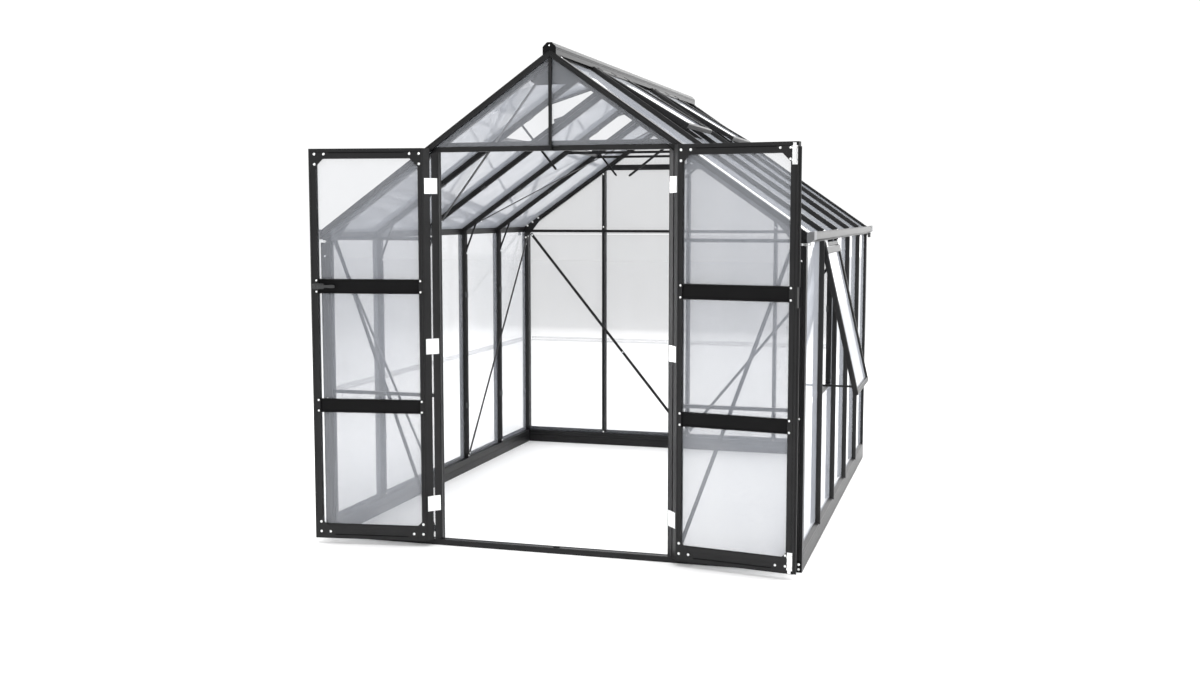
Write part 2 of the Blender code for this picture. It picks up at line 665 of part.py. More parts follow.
def make_vent(label, bay, number):
    """A vent frame with its pane and its stay, hinged beside the ridge bar."""
    black = powder_black()
    side = SIDES[label]
    name = label + "_vent_" + str(number)
    y0, y1 = frame_y(bay) + VENT_SIDE_CLEARANCE, frame_y(bay + 1) - VENT_SIDE_CLEARANCE
    s0, s1 = VENT_TOP_S, VENT_TOP_S + VENT_LENGTH
    edge = VENT_BORDER

    def rectangle(inset):
        a, b = y0 + inset, y1 - inset
        top, bottom = s0 + inset, s1 - inset
        return [(a, top), (b, top), (b, bottom), (a, bottom)]

    x, z = on_slope(side, s0, VENT_RISE)
    empty = hinge_empty(name + "_hinge", x, (y0 + y1) / 2, z)
    empty.rotation_euler.y = -side * math.radians(VENT_OPEN_DEG[label])
    frame = slope_plate(name + "_frame", side, rectangle(0.0), -VENT_UNDERSIDE, VENT_RISE, black)
    cut(frame, slope_plate("hole", side, rectangle(edge), -VENT_UNDERSIDE - 0.01, VENT_RISE + 0.01, black))
    hang(frame, empty)
    pane = slope_plate(name + "_glass", side, rectangle(edge + GAP), -0.004, 0.0, clear_glass())
    hang(pane, empty)

    pivot_s, pivot_p = s1 - 0.056, -VENT_UNDERSIDE - 0.010
    x, z = on_slope(side, pivot_s, pivot_p)
    pivot = hinge_empty(name + "_stay_pivot", x, (y0 + y1) / 2, z, parent=empty)
    lean = math.radians(VENT_STAY_DEG)
    reach = (-math.cos(lean), -math.sin(lean))
    start = on_slope(side, pivot_s - 0.008 * reach[0], pivot_p - 0.008 * reach[1])
    end = on_slope(side, pivot_s + VENT_STAY_LENGTH * reach[0], pivot_p + VENT_STAY_LENGTH * reach[1])
    middle = (y0 + y1) / 2
    stay = prism(name + "_stay", bar_outline(start, end, STAY_WIDTH), "y", middle - STAY_THICKNESS / 2,
                 middle + STAY_THICKNESS / 2, black)
    hang(stay, pivot)


def make_side_window():
    """A top-hung window in the right wall, with a stay that leans inwards over its sill rail."""
    black = powder_black()
    x0, x1 = WINDOW_X
    z0, z1 = WINDOW_Z
    y0 = frame_y(WINDOW_BAY) + VENT_SIDE_CLEARANCE
    y1 = frame_y(WINDOW_BAY + 1) - VENT_SIDE_CLEARANCE
    middle = (y0 + y1) / 2
    empty = hinge_empty("side_window_hinge", x1, middle, z1)
    empty.rotation_euler.y = -math.radians(WINDOW_OPEN_DEG)
    edge = WINDOW_BORDER
    frame = box("side_window_frame", (x0, x1), (y0, y1), (z0, z1), black)
    cut(frame, box("hole", (x0 - 0.01, x1 + 0.01), (y0 + edge, y1 - edge), (z0 + edge, z1 - edge), black))
    hang(frame, empty)
    inset = edge + GAP
    pane = box("side_window_glass", (x0 + 0.011, x0 + 0.015), (y0 + inset, y1 - inset), (z0 + inset, z1 - inset),
               clear_glass())
    hang(pane, empty)
    pivot_x, pivot_z = x0 - 0.010, z0 + 0.013
    pivot = hinge_empty("side_window_stay_pivot", pivot_x, middle, pivot_z, parent=empty)
    lean = math.radians(WINDOW_OPEN_DEG)
    reach = Vector((-math.cos(lean), math.sin(lean)))
    place = Vector((pivot_x, pivot_z))
    line = bar_outline(place - reach * 0.006, place + reach * WINDOW_STAY_LENGTH, STAY_WIDTH - 0.002)
    stay = prism("side_window_stay", line, "y", middle - STAY_THICKNESS / 2, middle + STAY_THICKNESS / 2, black)
    hang(stay, pivot)


def make_openings():
    for label in SIDES:
        for number, bay in enumerate(VENT_BAYS, start=1):
            make_vent(label, bay, number)
    make_side_window()


def main():
    clear_scene()
    make_sills()
    make_corner_posts()
    make_gable_rafters()
    make_door_jambs()
    make_door_lintel()
    make_front_gable_mullion()
    make_front_bay_rails()
    make_arches()
    make_ridge_bar()
    make_gutters()
    make_side_braces()
    make_rear_wall()
    make_wall_glass()
    make_roof_glass()
    make_doors()
    make_openings()
    bpy.context.view_layer.update()


main()
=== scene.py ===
# %% [markdown]
# # A walk-in greenhouse of black powder-coated aluminium
# The real thing is a kit: extruded aluminium sections cut to length, bolted at the joints and
# filled with 4 mm toughened glass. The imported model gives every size, so this script starts by
# loading it and measures from its boxes. Sections are drawn in millimetres, as on the drawing of
# an extrusion die, and run along the lines where the model has its members.

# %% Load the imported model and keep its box
import json
import math

import bmesh
import bpy
from mathutils import Matrix, Vector


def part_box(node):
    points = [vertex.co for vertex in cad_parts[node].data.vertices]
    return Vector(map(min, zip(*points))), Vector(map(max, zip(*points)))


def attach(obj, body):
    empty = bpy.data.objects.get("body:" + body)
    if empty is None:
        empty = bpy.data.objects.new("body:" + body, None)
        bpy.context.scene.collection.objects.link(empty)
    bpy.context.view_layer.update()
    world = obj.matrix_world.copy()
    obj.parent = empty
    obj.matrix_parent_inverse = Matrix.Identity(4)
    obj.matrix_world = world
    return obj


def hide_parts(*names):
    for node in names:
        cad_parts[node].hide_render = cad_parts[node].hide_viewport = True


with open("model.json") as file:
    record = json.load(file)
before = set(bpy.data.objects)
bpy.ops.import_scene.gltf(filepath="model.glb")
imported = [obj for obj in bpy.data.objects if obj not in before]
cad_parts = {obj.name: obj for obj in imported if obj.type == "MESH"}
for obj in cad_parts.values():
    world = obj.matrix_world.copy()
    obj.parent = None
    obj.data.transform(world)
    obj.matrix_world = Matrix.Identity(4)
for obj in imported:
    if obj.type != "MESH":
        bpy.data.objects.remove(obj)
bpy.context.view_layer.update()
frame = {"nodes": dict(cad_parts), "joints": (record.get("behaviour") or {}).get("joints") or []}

# %% Driving sizes, read from the model's own nodes
MM = 0.001
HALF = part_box("front_sill")[1].x
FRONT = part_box("front_sill")[0].y
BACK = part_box("rear_sill")[1].y
BAYS = 5
BAY = (BACK - FRONT) / BAYS
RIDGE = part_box("front_gable_rafters")[1].z
DEPTH = 50 * MM
PITCH = math.atan((RIDGE - 1.650) / HALF)
GAP = 0.3 * MM
PANE_OUT = 17 * MM
PANE_IN = 21 * MM
BAR_OUT = PANE_IN + GAP
BAR = 22 * MM
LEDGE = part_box("left_wall_glass")[0].z
EAVE_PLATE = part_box("left_gutter")[0].z
MID_RAIL = 0.790
EAVE_RAIL = 1.609
HANDLE_Z = 1.363
SIDES = {"left": -1, "right": 1}
ENDS = (("front", FRONT, 1), ("rear", BACK, -1))
VENT_BAYS = (1, 3)
WINDOW_BAY = 1
print("half width", round(HALF, 4), "bay", round(BAY, 4), "ridge", round(RIDGE, 4), "pitch",
      round(math.degrees(PITCH), 2))


def frame_y(number):
    """The plane of a frame: 0 is the front gable and BAYS the back one."""
    return FRONT + BAY * number


def roof_z(x, depth=0.0):
    """Height of the roof at x, at a depth measured square to the slope."""
    return RIDGE - abs(x) * math.tan(PITCH) - depth / math.cos(PITCH)


def roof_x(z, depth=0.0):
    """Distance from the middle at which the roof has this height."""
    return (RIDGE - depth / math.cos(PITCH) - z) / math.tan(PITCH)


def on_slope(side, s, p, y):
    """A point s down the slope from the ridge and p above the roof's outer face."""
    return Vector((side * (s * math.cos(PITCH) + p * math.sin(PITCH)), y,
                   RIDGE - s * math.sin(PITCH) + p * math.cos(PITCH)))


def glass_top(x):
    """Height at x of the sloping top edge of a gable's panes."""
    return roof_z(x, 28 * MM) - 2 * GAP


# %% [markdown]
# ## How a length of extrusion is made
# A die pushes aluminium out as a bar with one section from end to end, and a saw cuts the ends
# square or to a mitre. Blender could sweep a curve's bevel profile along a path, but the ends of
# a curve can't be mitred to a sloping roof. So each bar is two copies of its section, joined by
# side faces, and a rule may say where each corner of the section is cut.

# %% Shape helpers
def extrude(shape, section, put, start, stop):
    """Adds one bar. put(a, b, t) places a section point; start and stop are numbers or rules."""
    rings = []
    for end in (start, stop):
        ring = []
        for a, b in section:
            ring.append(shape.verts.new(put(a, b, end(a, b) if callable(end) else end)))
        rings.append(ring)
    shape.faces.new(rings[0])
    shape.faces.new(rings[1][::-1])
    for i in range(len(section)):
        j = (i + 1) % len(section)
        shape.faces.new((rings[0][i], rings[1][i], rings[1][j], rings[0][j]))


def bar(section, put, start, stop):
    """A new shape that is one bar."""
    shape = bmesh.new()
    extrude(shape, section, put, start, stop)
    return shape


def mitred(shape, section, put, a, b):
    """Runs a section of (inset, height) points round a rectangle, mitred at its corners."""
    rings = []
    for inset, height in section:
        corners = ((a[0] + inset, b[0] + inset), (a[1] - inset, b[0] + inset),
                   (a[1] - inset, b[1] - inset), (a[0] + inset, b[1] - inset))
        rings.append([shape.verts.new(put(x, y, height)) for x, y in corners])
    for i, ring in enumerate(rings):
        following = rings[(i + 1) % len(rings)]
        for k in range(4):
            m = (k + 1) % 4
            shape.faces.new((ring[k], ring[m], following[m], following[k]))


def lathe(shape, centre, axis, outline, segments=20):
    """Turns an outline of (radius, height) points about an axis through centre."""
    axis = Vector(axis).normalized()
    across = axis.orthogonal().normalized()
    up = axis.cross(across)
    rings = []
    for radius, height in outline:
        middle = Vector(centre) + axis * height
        ring = []
        for i in range(segments):
            turn = 2 * math.pi * i / segments
            ring.append(shape.verts.new(middle + (across * math.cos(turn) + up * math.sin(turn)) * radius))
        rings.append(ring)
    for lower, upper in zip(rings, rings[1:]):
        for i in range(segments):
            j = (i + 1) % segments
            shape.faces.new((lower[i], lower[j], upper[j], upper[i]))
    shape.faces.new(rings[0])
    shape.faces.new(rings[-1])


def in_mm(points):
    """A drawing in millimetres, as metres."""
    return [(a * MM, b * MM) for a, b in points]


# Where a section's two numbers and the run go, for each direction of run
def run_x(a, b, t):
    return Vector((t, a, b))


def run_y(a, b, t):
    return Vector((a, t, b))


def run_z(a, b, t):
    return Vector((a, b, t))


def straight(start, end, normal):
    """A place rule for a flat bar from start to end: a is across it, b is along its normal."""
    start, normal = Vector(start), Vector(normal).normalized()
    along = (Vector(end) - start).normalized()
    side = along.cross(normal)
    return lambda a, b, t: start + side * a + normal * b + along * t


def piece(name, shape, body, finish, stands_for=(), edge=0.6, turn=None):
    """Makes an object from a shape, eases its edges by edge millimetres and puts it on its body."""
    if turn is not None:
        bmesh.ops.transform(shape, matrix=turn, verts=shape.verts)
    bmesh.ops.recalc_face_normals(shape, faces=shape.faces)
    mesh = bpy.data.meshes.new(name)
    shape.to_mesh(mesh)
    shape.free()
    mesh.materials.append(finish)
    made = bpy.data.objects.new(name, mesh)
    bpy.context.collection.objects.link(made)
    ease(made, edge)
    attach(made, body)
    if stands_for:
        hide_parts(*stands_for)
    return made


def ease(made, edge):
    """A small rounded edge, which catches the light as a real cut or extruded edge does."""
    for face in made.data.polygons:
        face.use_smooth = True
    made.data.set_sharp_from_angle(angle=math.radians(35))
    if edge:
        bevel = made.modifiers.new("eased_edges", "BEVEL")
        bevel.width = edge * MM
        bevel.segments = 2
        bevel.limit_method = "ANGLE"
        bevel.angle_limit = math.radians(35)
        bevel.harden_normals = True


# %% [markdown]
# ## Finishes
# Each finish is one material. Colours are written as sRGB hex, as on a paint card, and turned to
# the linear values that a shader works in. Patterns use object coordinates, which are metres
# here, so a size in millimetres gives a noise scale directly.

# %% Colour and node helpers
def linear(code):
    """An sRGB hex colour as linear red, green, blue and alpha."""
    values = [int(code[i:i + 2], 16) / 255 for i in (1, 3, 5)]
    return [v / 12.92 if v <= 0.04045 else ((v + 0.055) / 1.055) ** 2.4 for v in values] + [1.0]


def add(tree, kind, inputs=None, **settings):
    """Adds one node. inputs are values or sockets to link from; settings are its own properties."""
    made = tree.nodes.new(kind)
    for name, value in settings.items():
        setattr(made, name, value)
    for name, value in (inputs or {}).items():
        if isinstance(value, bpy.types.NodeSocket):
            tree.links.new(value, made.inputs[name])
        else:
            made.inputs[name].default_value = value
    return made


def scale_for(millimetres):
    """The noise scale whose features are about this far apart."""
    return 1.0 / (millimetres * MM)


def start_finish(name):
    """An empty material with its tree, its Principled shader and object coordinates."""
    made = bpy.data.materials.new(name)
    made.use_nodes = True
    tree = made.node_tree
    place = add(tree, "ShaderNodeTexCoord").outputs["Object"]
    return made, tree, tree.nodes["Principled BSDF"], place


def ramp(tree, factor, low, high, start=0.3, end=0.7):
    """A colour ramp between two hex colours."""
    made = add(tree, "ShaderNodeValToRGB", {"Fac": factor})
    for stop, code, position in zip(made.color_ramp.elements, (low, high), (start, end)):
        stop.color = linear(code)
        stop.position = position
    return made.outputs["Color"]


def spread(tree, factor, low, high):
    """A factor from 0 to 1 turned to the range low to high."""
    return add(tree, "ShaderNodeMapRange",
               {"Value": factor, "To Min": low, "To Max": high}).outputs["Result"]


# %% [markdown]
# ### Powder-coated aluminium
# The frame is dry powder, sprayed on by static charge and baked. It melts into a skin with a very
# slight orange peel, whose dimples are 1 to 2 mm apart. That gives the eye a soft satin sheen: a
# near-black body colour, and edges and grazing faces that turn pale grey. A matting agent in the
# powder halves its shine, so the specular level is half the plain 0.5. A second, darker copy with
# a still lower specular level and more roughness is painted shade. It goes on parts that sit in
# channels, recesses and corners, such as the foot plates, the door's cross rails, the fillers in
# the door rails' slots and the vent hinges, so that they read darker. The dimples are drawn 4 mm
# apart, since real ones are finer than this picture can show. Wide, faint clouds in colour and
# roughness stand for handling and dust.

# %% Powder-coated aluminium
def powder_coat(name, low, high, rough_low, rough_high, specular):
    made, tree, shader, place = start_finish(name)
    clouds = add(tree, "ShaderNodeTexNoise", {"Vector": place, "Scale": scale_for(180), "Detail": 5.0})
    peel = add(tree, "ShaderNodeTexNoise", {"Vector": place, "Scale": scale_for(4), "Detail": 2.0})
    specks = add(tree, "ShaderNodeTexNoise", {"Vector": place, "Scale": scale_for(9), "Detail": 3.0})
    tree.links.new(ramp(tree, clouds.outputs["Fac"], low, high), shader.inputs["Base Color"])
    tree.links.new(spread(tree, specks.outputs["Fac"], rough_low, rough_high), shader.inputs["Roughness"])
    bump = add(tree, "ShaderNodeBump",
               {"Height": peel.outputs["Fac"], "Strength": 0.10, "Distance": 0.4 * MM})
    tree.links.new(bump.outputs["Normal"], shader.inputs["Normal"])
    shader.inputs["IOR"].default_value = 1.50
    shader.inputs["Specular IOR Level"].default_value = specular
    return made


powder_black = powder_coat("powder_coated_aluminium", "#131314", "#1c1c1d", 0.32, 0.44, 0.25)
# A darker, duller copy of the powder coat: painted shade for parts in channels, recesses and corners.
powder_painted_shade = powder_coat("powder_coat_painted_shade", "#0b0b0c", "#111112", 0.42, 0.56, 0.10)
print("powder coat:", powder_black.name, powder_painted_shade.name)


def metal(name, shape, stands_for=(), body="frame", edge=0.6, turn=None):
    """A piece of powder-coated metal."""
    return piece(name, shape, body, powder_black, stands_for, edge, turn)


# %% [markdown]
# ### Toughened glass
# Float glass is heated and chilled with air, which leaves it clear and flat with a faint grey-blue
# cast. In a bright studio it shows as a pale veil over what stands behind it. A refracting shader
# would block the lamps' direct light through forty panes, so this one is thin glass by alpha:
# each of a pane's two faces lets four fifths of the light through and the rest is the veil. Seen
# almost edge on, real glass mirrors the white room instead, so the veil thickens to a full white
# sheen as a pane turns away: a painted reflection. Faint streaks, as from wiping, are a few
# centimetres wide. The back wall's panes take a darker copy of the glass, which is painted shade,
# so they show light grey against the white room.

# %% Toughened glass
def toughened_glass(name, low, high, veil):
    made, tree, shader, place = start_finish(name)
    facing = add(tree, "ShaderNodeLayerWeight", {"Blend": 0.5}).outputs["Facing"]
    # Painted reflection: towards a grazing angle the alpha rises and the pale base colour covers the pane.
    sheen = add(tree, "ShaderNodeMapRange",
                {"Value": facing, "From Min": 0.60, "From Max": 0.86, "To Min": veil,
                 "To Max": 0.94}).outputs["Result"]
    tree.links.new(sheen, shader.inputs["Alpha"])
    long_way = add(tree, "ShaderNodeMapping", {"Vector": place, "Scale": (1.0, 1.0, 0.25)})
    wipes = add(tree, "ShaderNodeTexNoise",
                {"Vector": long_way.outputs["Vector"], "Scale": scale_for(260), "Detail": 4.0})
    tree.links.new(ramp(tree, wipes.outputs["Fac"], low, high), shader.inputs["Base Color"])
    tree.links.new(spread(tree, wipes.outputs["Fac"], 0.02, 0.07), shader.inputs["Roughness"])
    shader.inputs["IOR"].default_value = 1.52
    return made


glass = toughened_glass("toughened_glass", "#aaaeb6", "#b9bcc2", 0.20)
# A darker copy of the glass for the back wall: painted shade.
glass_painted_shade = toughened_glass("toughened_glass_painted_shade", "#85888e", "#93969c", 0.24)
print("glass:", glass.name, glass_painted_shade.name)

# %% [markdown]
# ### Bright metal, nylon and rubber
# Bolts, screws and slide bolts are steel with a bright zinc plating. The hinge leaves are mill
# aluminium, as it leaves the die, with faint lines along it. Both mirror the white room, so they
# read almost white. Handle, gutter ends and clips are moulded nylon with a fine spark-eroded
# grain. The gutter ends take a lighter grey copy of the nylon, a painted sheen for the pale grey
# that they show at a grazing angle. Glazing seals are EPDM rubber, dull and very dark.

# %% Zinc-plated steel and mill aluminium
def bright_metal(name, low, high, rough_low, rough_high, line_mm):
    made, tree, shader, place = start_finish(name)
    drawn = add(tree, "ShaderNodeMapping", {"Vector": place, "Scale": (1.0, 1.0, 0.08)})
    lines = add(tree, "ShaderNodeTexNoise",
                {"Vector": drawn.outputs["Vector"], "Scale": scale_for(line_mm), "Detail": 3.0})
    tree.links.new(ramp(tree, lines.outputs["Fac"], low, high), shader.inputs["Base Color"])
    tree.links.new(spread(tree, lines.outputs["Fac"], rough_low, rough_high), shader.inputs["Roughness"])
    bump = add(tree, "ShaderNodeBump",
               {"Height": lines.outputs["Fac"], "Strength": 0.15, "Distance": 0.1 * MM})
    tree.links.new(bump.outputs["Normal"], shader.inputs["Normal"])
    shader.inputs["Metallic"].default_value = 1.0
    return made


zinc = bright_metal("zinc_plated_steel", "#eceded", "#fafafa", 0.22, 0.36, 3)
mill = bright_metal("mill_aluminium", "#f3f4f4", "#fcfcfc", 0.30, 0.42, 2)
print("bright metal:", zinc.name, mill.name)

# %% Moulded nylon and EPDM rubber
def moulded(name, low, high, roughness, ior, grain_mm, depth_mm):
    made, tree, shader, place = start_finish(name)
    grain = add(tree, "ShaderNodeTexNoise", {"Vector": place, "Scale": scale_for(grain_mm), "Detail": 2.0})
    bloom = add(tree, "ShaderNodeTexNoise", {"Vector": place, "Scale": scale_for(60), "Detail": 4.0})
    tree.links.new(ramp(tree, bloom.outputs["Fac"], low, high), shader.inputs["Base Color"])
    tree.links.new(spread(tree, bloom.outputs["Fac"], roughness - 0.06, roughness + 0.06),
                   shader.inputs["Roughness"])
    bump = add(tree, "ShaderNodeBump",
               {"Height": grain.outputs["Fac"], "Strength": 0.2, "Distance": depth_mm * MM})
    tree.links.new(bump.outputs["Normal"], shader.inputs["Normal"])
    shader.inputs["IOR"].default_value = ior
    return made


nylon = moulded("moulded_nylon", "#232425", "#2e2f30", 0.46, 1.53, 1.5, 0.15)
# A lighter copy of the nylon for the gutter ends: painted sheen.
nylon_painted_sheen = moulded("moulded_nylon_painted_sheen", "#68696b", "#757678", 0.50, 1.53, 1.5, 0.15)
rubber = moulded("epdm_rubber", "#0b0b0c", "#131314", 0.78, 1.52, 3.0, 0.10)
print("moulded:", nylon.name, nylon_painted_sheen.name, rubber.name)

# %% [markdown]
# ## Fixings
# A greenhouse kit is held by many small bolts whose square heads slide in the bars' slots. What
# shows is a washer and a domed nut or head. One turned outline does for all of them, and a
# group's bolts are one piece.

# %% Bolts and screws
def bolt(shape, centre, axis, size):
    """A washer and a domed head, standing on a surface. size is the washer's width in mm."""
    r = size * MM / 2
    outline = [(r, 0.0), (r, 0.08 * r), (0.93 * r, 0.16 * r), (0.80 * r, 0.16 * r), (0.80 * r, 0.26 * r),
               (0.70 * r, 0.42 * r), (0.50 * r, 0.54 * r), (0.25 * r, 0.60 * r), (0.22 * r, 0.46 * r),
               (0.05 * r, 0.44 * r)]
    lathe(shape, centre, axis, outline, 16)


def bolts(name, body, places, axis, size, finish=None, turn=None):
    """A group of like bolts as one piece."""
    shape = bmesh.new()
    for place in places:
        bolt(shape, place, axis, size)
    return piece(name, shape, body, finish or zinc, edge=0, turn=turn)


# %% [markdown]
# ## Ground frame
# The building stands on a flat threshold under the doors and on tall sills round the other three
# sides. A sill has an inner ledge for the wall bars, a groove for the pane and an outer lip whose
# top slopes so that rain runs off. Fine grooves along its face are marks that the die leaves on
# purpose, to line up drills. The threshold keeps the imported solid, because it has the slide
# bolt's slot in it, and gets ribs on top.

# %% Sills and threshold
SILL = in_mm([(0, 0), (0, 12), (1.2, 13), (1.2, 16), (0, 17), (0, 79), (1.2, 80), (1.2, 83), (0, 84),
              (0, 96), (15.0, 111), (16.7, 111), (16.7, 87), (30, 87), (30, 84.5), (38, 84.5), (38, 87),
              (50, 87), (50, 62), (47, 61), (47, 46), (50, 45), (50, 0)])

inner_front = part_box("left_sill")[0].y
inner_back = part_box("left_sill")[1].y
for label, side in SIDES.items():
    shape = bar([(side * (HALF - d), z) for d, z in SILL], run_y, inner_front, inner_back)
    metal(label + "_base_sill", shape, [label + "_sill"])
rear_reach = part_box("rear_sill")[1].x
shape = bar([(BACK - d, z) for d, z in SILL], run_x, -rear_reach, rear_reach)
metal("rear_base_sill", shape, ["rear_sill"])

THRESHOLD_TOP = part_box("front_sill")[1].z
shape = bmesh.new()
RIB = in_mm([(-1.2, -0.4), (-0.7, 0.9), (0.7, 0.9), (1.2, -0.4)])
for y_mm in (-21, -18.5, 9, 12, 15, 18, 21):
    place = straight((-HALF + 0.052, y_mm * MM, THRESHOLD_TOP), (HALF, y_mm * MM, THRESHOLD_TOP), (0, 0, 1))
    extrude(shape, RIB, place, 0.0, 2 * HALF - 0.104)
metal("threshold_ribs", shape, edge=0.2)
print("sills run from", round(inner_front, 4), "to", round(inner_back, 4))

# %% [markdown]
# ## Corner posts
# Each post is a 50 mm hollow section. Two narrow grooves on each outer face break it into dark
# and pale bands, and a slot on each inner face takes bolt heads. The post's foot is held by an
# angle bracket with two bolts.

# %% Corner posts and their feet
POST = in_mm([(0, 0), (15.5, 0), (15.5, 3), (18.5, 3), (18.5, 0), (33, 0), (33, 3), (36, 3), (36, 0),
              (50, 0), (50, 21), (44, 21), (44, 29), (50, 29), (50, 50), (29, 50), (29, 44), (21, 44),
              (21, 50), (0, 50), (0, 36), (3, 36), (3, 33), (0, 33), (0, 18.5), (3, 18.5), (3, 15.5),
              (0, 15.5)])
for label, side in SIDES.items():
    for end, outer, turn in ENDS:
        low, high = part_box(end + "_" + label + "_post")
        shape = bmesh.new()
        section = [(side * (HALF - u), outer + turn * v) for u, v in POST]
        extrude(shape, section, run_z, low.z, high.z)
        metal(end + "_" + label + "_corner_post", shape, [end + "_" + label + "_post"], edge=0.8)
        shape = bmesh.new()
        foot = [(side * (HALF - x), z) for x, z in ((0.048, 0.003), (0.003, 0.003), (0.003, 0.052),
                                                    (0.010, 0.060), (0.041, 0.060), (0.048, 0.052))]
        extrude(shape, foot, run_y, outer - turn * 1.6 * MM, outer - turn * 0.1 * MM)
        # The foot plates take the painted-shade copy of the powder coat.
        piece(end + "_" + label + "_foot_plate", shape, "frame", powder_painted_shade, edge=0.4)
        points = [(side * (HALF - 0.016), outer - turn * 1.6 * MM, z) for z in (0.016, 0.040)]
        bolts(end + "_" + label + "_foot_bolts", "frame", points, (0, -turn, 0), 13)
        points = [(side * (HALF - 0.024), outer, z) for z in (0.755, 1.515)]
        bolts(end + "_" + label + "_post_screws", "frame", points, (0, -turn, 0), 9)
print("corner posts: 4, each", round(high.z, 3), "m tall at the eave")

# %% [markdown]
# ## Gables
# A gable rafter is one section: a narrow outer face, a deep flange behind it that the pane lies
# against, and a slot on its underside. Both rafters are cut upright at the ridge and at the eave.
# The two cuts are rules for where each corner of the section ends, so that the joint closes.

# %% Gable rafters
RAFTER = in_mm([(0, 0), (11, 0), (11, 1.6), (13.5, 1.6), (13.5, 0), (28, 0), (28, 21.3), (50, 21.3),
                (50, 49.6), (42, 49.6), (42, 45), (35, 45), (35, 49.6), (0, 49.6), (0, 31), (1.6, 31),
                (1.6, 28.5), (0, 28.5)])


def to_middle(depth, _):
    """Distance down the slope at which a point at this depth is over the middle line."""
    return depth * math.tan(PITCH) + 0.1 * MM


def to_wall(x):
    """A rule: the distance down the slope at which a point at some depth is x from the middle."""
    return lambda depth, _: (x + depth * math.sin(PITCH)) / math.cos(PITCH)


for end, outer, turn in ENDS:
    for label, side in SIDES.items():
        shape = bar(RAFTER, lambda d, w, s: on_slope(side, s, -d, outer + turn * w), to_middle,
                    to_wall(HALF))
        metal(end + "_" + label + "_gable_rafter", shape, [end + "_gable_rafters"], edge=0.7)
low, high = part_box("front_gable_mullion")
shape = bmesh.new()
MULLION = in_mm([(-7.5, 0), (-2.6, 0), (-1.6, 1.4), (1.6, 1.4), (2.6, 0), (7.5, 0), (7.5, 16.7),
                 (-7.5, 16.7)])
extrude(shape, [(x, FRONT + y) for x, y in MULLION], run_z, low.z, high.z)
metal("gable_mullion", shape, ["front_gable_mullion"])
print("gable rafters meet at", round(RIDGE, 4))

# %% [markdown]
# ## Gusset plates
# Where rafters meet each other and the posts, a flat plate lies on the inside and is bolted
# through the bars' slots. The plates have cut corners, which keeps them clear of the glass beads.

# %% Apex and eave gussets
def plate(name, outline, y_near, y_far):
    """A flat plate, drawn in x and z."""
    shape = bar(outline, run_y, y_near, y_far)
    return metal(name, shape, edge=0.5)


PLATE = 2.2 * MM


def apex_plate_outline():
    reach = 0.118
    top = roof_z(0.0, 0.020)
    return [(-reach, roof_z(reach, 0.052)), (-reach, roof_z(reach, 0.020)), (0.0, top),
            (reach, roof_z(reach, 0.020)), (reach, roof_z(reach, 0.052)),
            (reach - 0.030, roof_z(reach, 0.052) - 0.022), (-reach + 0.030, roof_z(reach, 0.052) - 0.022)]


def eave_plate_outline(side):
    outer = HALF - 0.006
    return [(side * outer, 1.490), (side * outer, roof_z(outer, 0.008)),
            (side * (outer - 0.150), roof_z(outer - 0.150, 0.008)),
            (side * (outer - 0.150), roof_z(outer - 0.150, 0.046)), (side * (outer - 0.040), 1.565),
            (side * (outer - 0.040), 1.490)]


for end, inside, turn in (("front", FRONT + DEPTH, 1), ("rear", BACK - DEPTH, -1)):
    face = inside + turn * PLATE
    plate(end + "_apex_gusset", apex_plate_outline(), inside, face)
    points = [(side * x, face, roof_z(x, depth)) for side in (-1, 1) for x, depth in ((0.035, 0.034),
                                                                                      (0.094, 0.036))]
    bolts(end + "_apex_bolts", "frame", points, (0, turn, 0), 13)
    for label, side in SIDES.items():
        plate(end + "_" + label + "_eave_gusset", eave_plate_outline(side), inside, face)
        spots = [(0.031, 1.510), (0.031, 1.560)]
        spots += [(d, roof_z(HALF - d, 0.028)) for d in (0.045, 0.085, 0.130)]
        points = [(side * (HALF - d), face, z) for d, z in spots]
        bolts(end + "_" + label + "_eave_bolts", "frame", points, (0, turn, 0), 13)

# %% [markdown]
# ## Wall bars, roof bars and their caps
# Four frames stand between the gables. In each, a T-slotted bar runs up inside the glass on both
# walls and on both slopes, and a cap outside clamps the pane against it with a rubber seal along
# each edge. A collar tie and two knee straps stiffen each frame.

# %% Bars, caps and seals
INNER_BAR = in_mm([(-11, 21.3), (11, 21.3), (11, 25.5), (9.6, 26.5), (9.6, 43.5), (11, 44.5), (11, 50),
                   (3.6, 50), (3.6, 44), (-3.6, 44), (-3.6, 50), (-11, 50), (-11, 44.5), (-9.6, 43.5),
                   (-9.6, 26.5), (-11, 25.5)])
CAP = in_mm([(-11, 16.7), (-11, -5), (-8.6, -8.6), (-3.4, -8.6), (-2.6, -7.2), (2.6, -7.2), (3.4, -8.6),
             (8.6, -8.6), (11, -5), (11, 16.7)])
SEAL = in_mm([(11.1, 16.8), (11.1, 12.6), (12.6, 14.2), (12.9, 16.8)])
SILL_TOP = 0.1115
WALL_TOP = EAVE_PLATE - 0.4 * MM


def mirrored(section):
    return [(-a, b) for a, b in section]


def over_lip(w, d):
    """Where a cap starts, so that its foot follows the sill's sloping lip."""
    return SILL_TOP - 15 * MM + max(0.0, min(d, 15 * MM))


def wall_run(side, y):
    """Places a section on a side wall: across it in y, and in depth from its outer face."""
    return lambda w, d, z: Vector((side * (HALF - d), y + w, z))


def slope_run(side, y):
    """The same on a slope, where the run goes down from the ridge."""
    return lambda w, d, s: on_slope(side, s, -d, y + w)


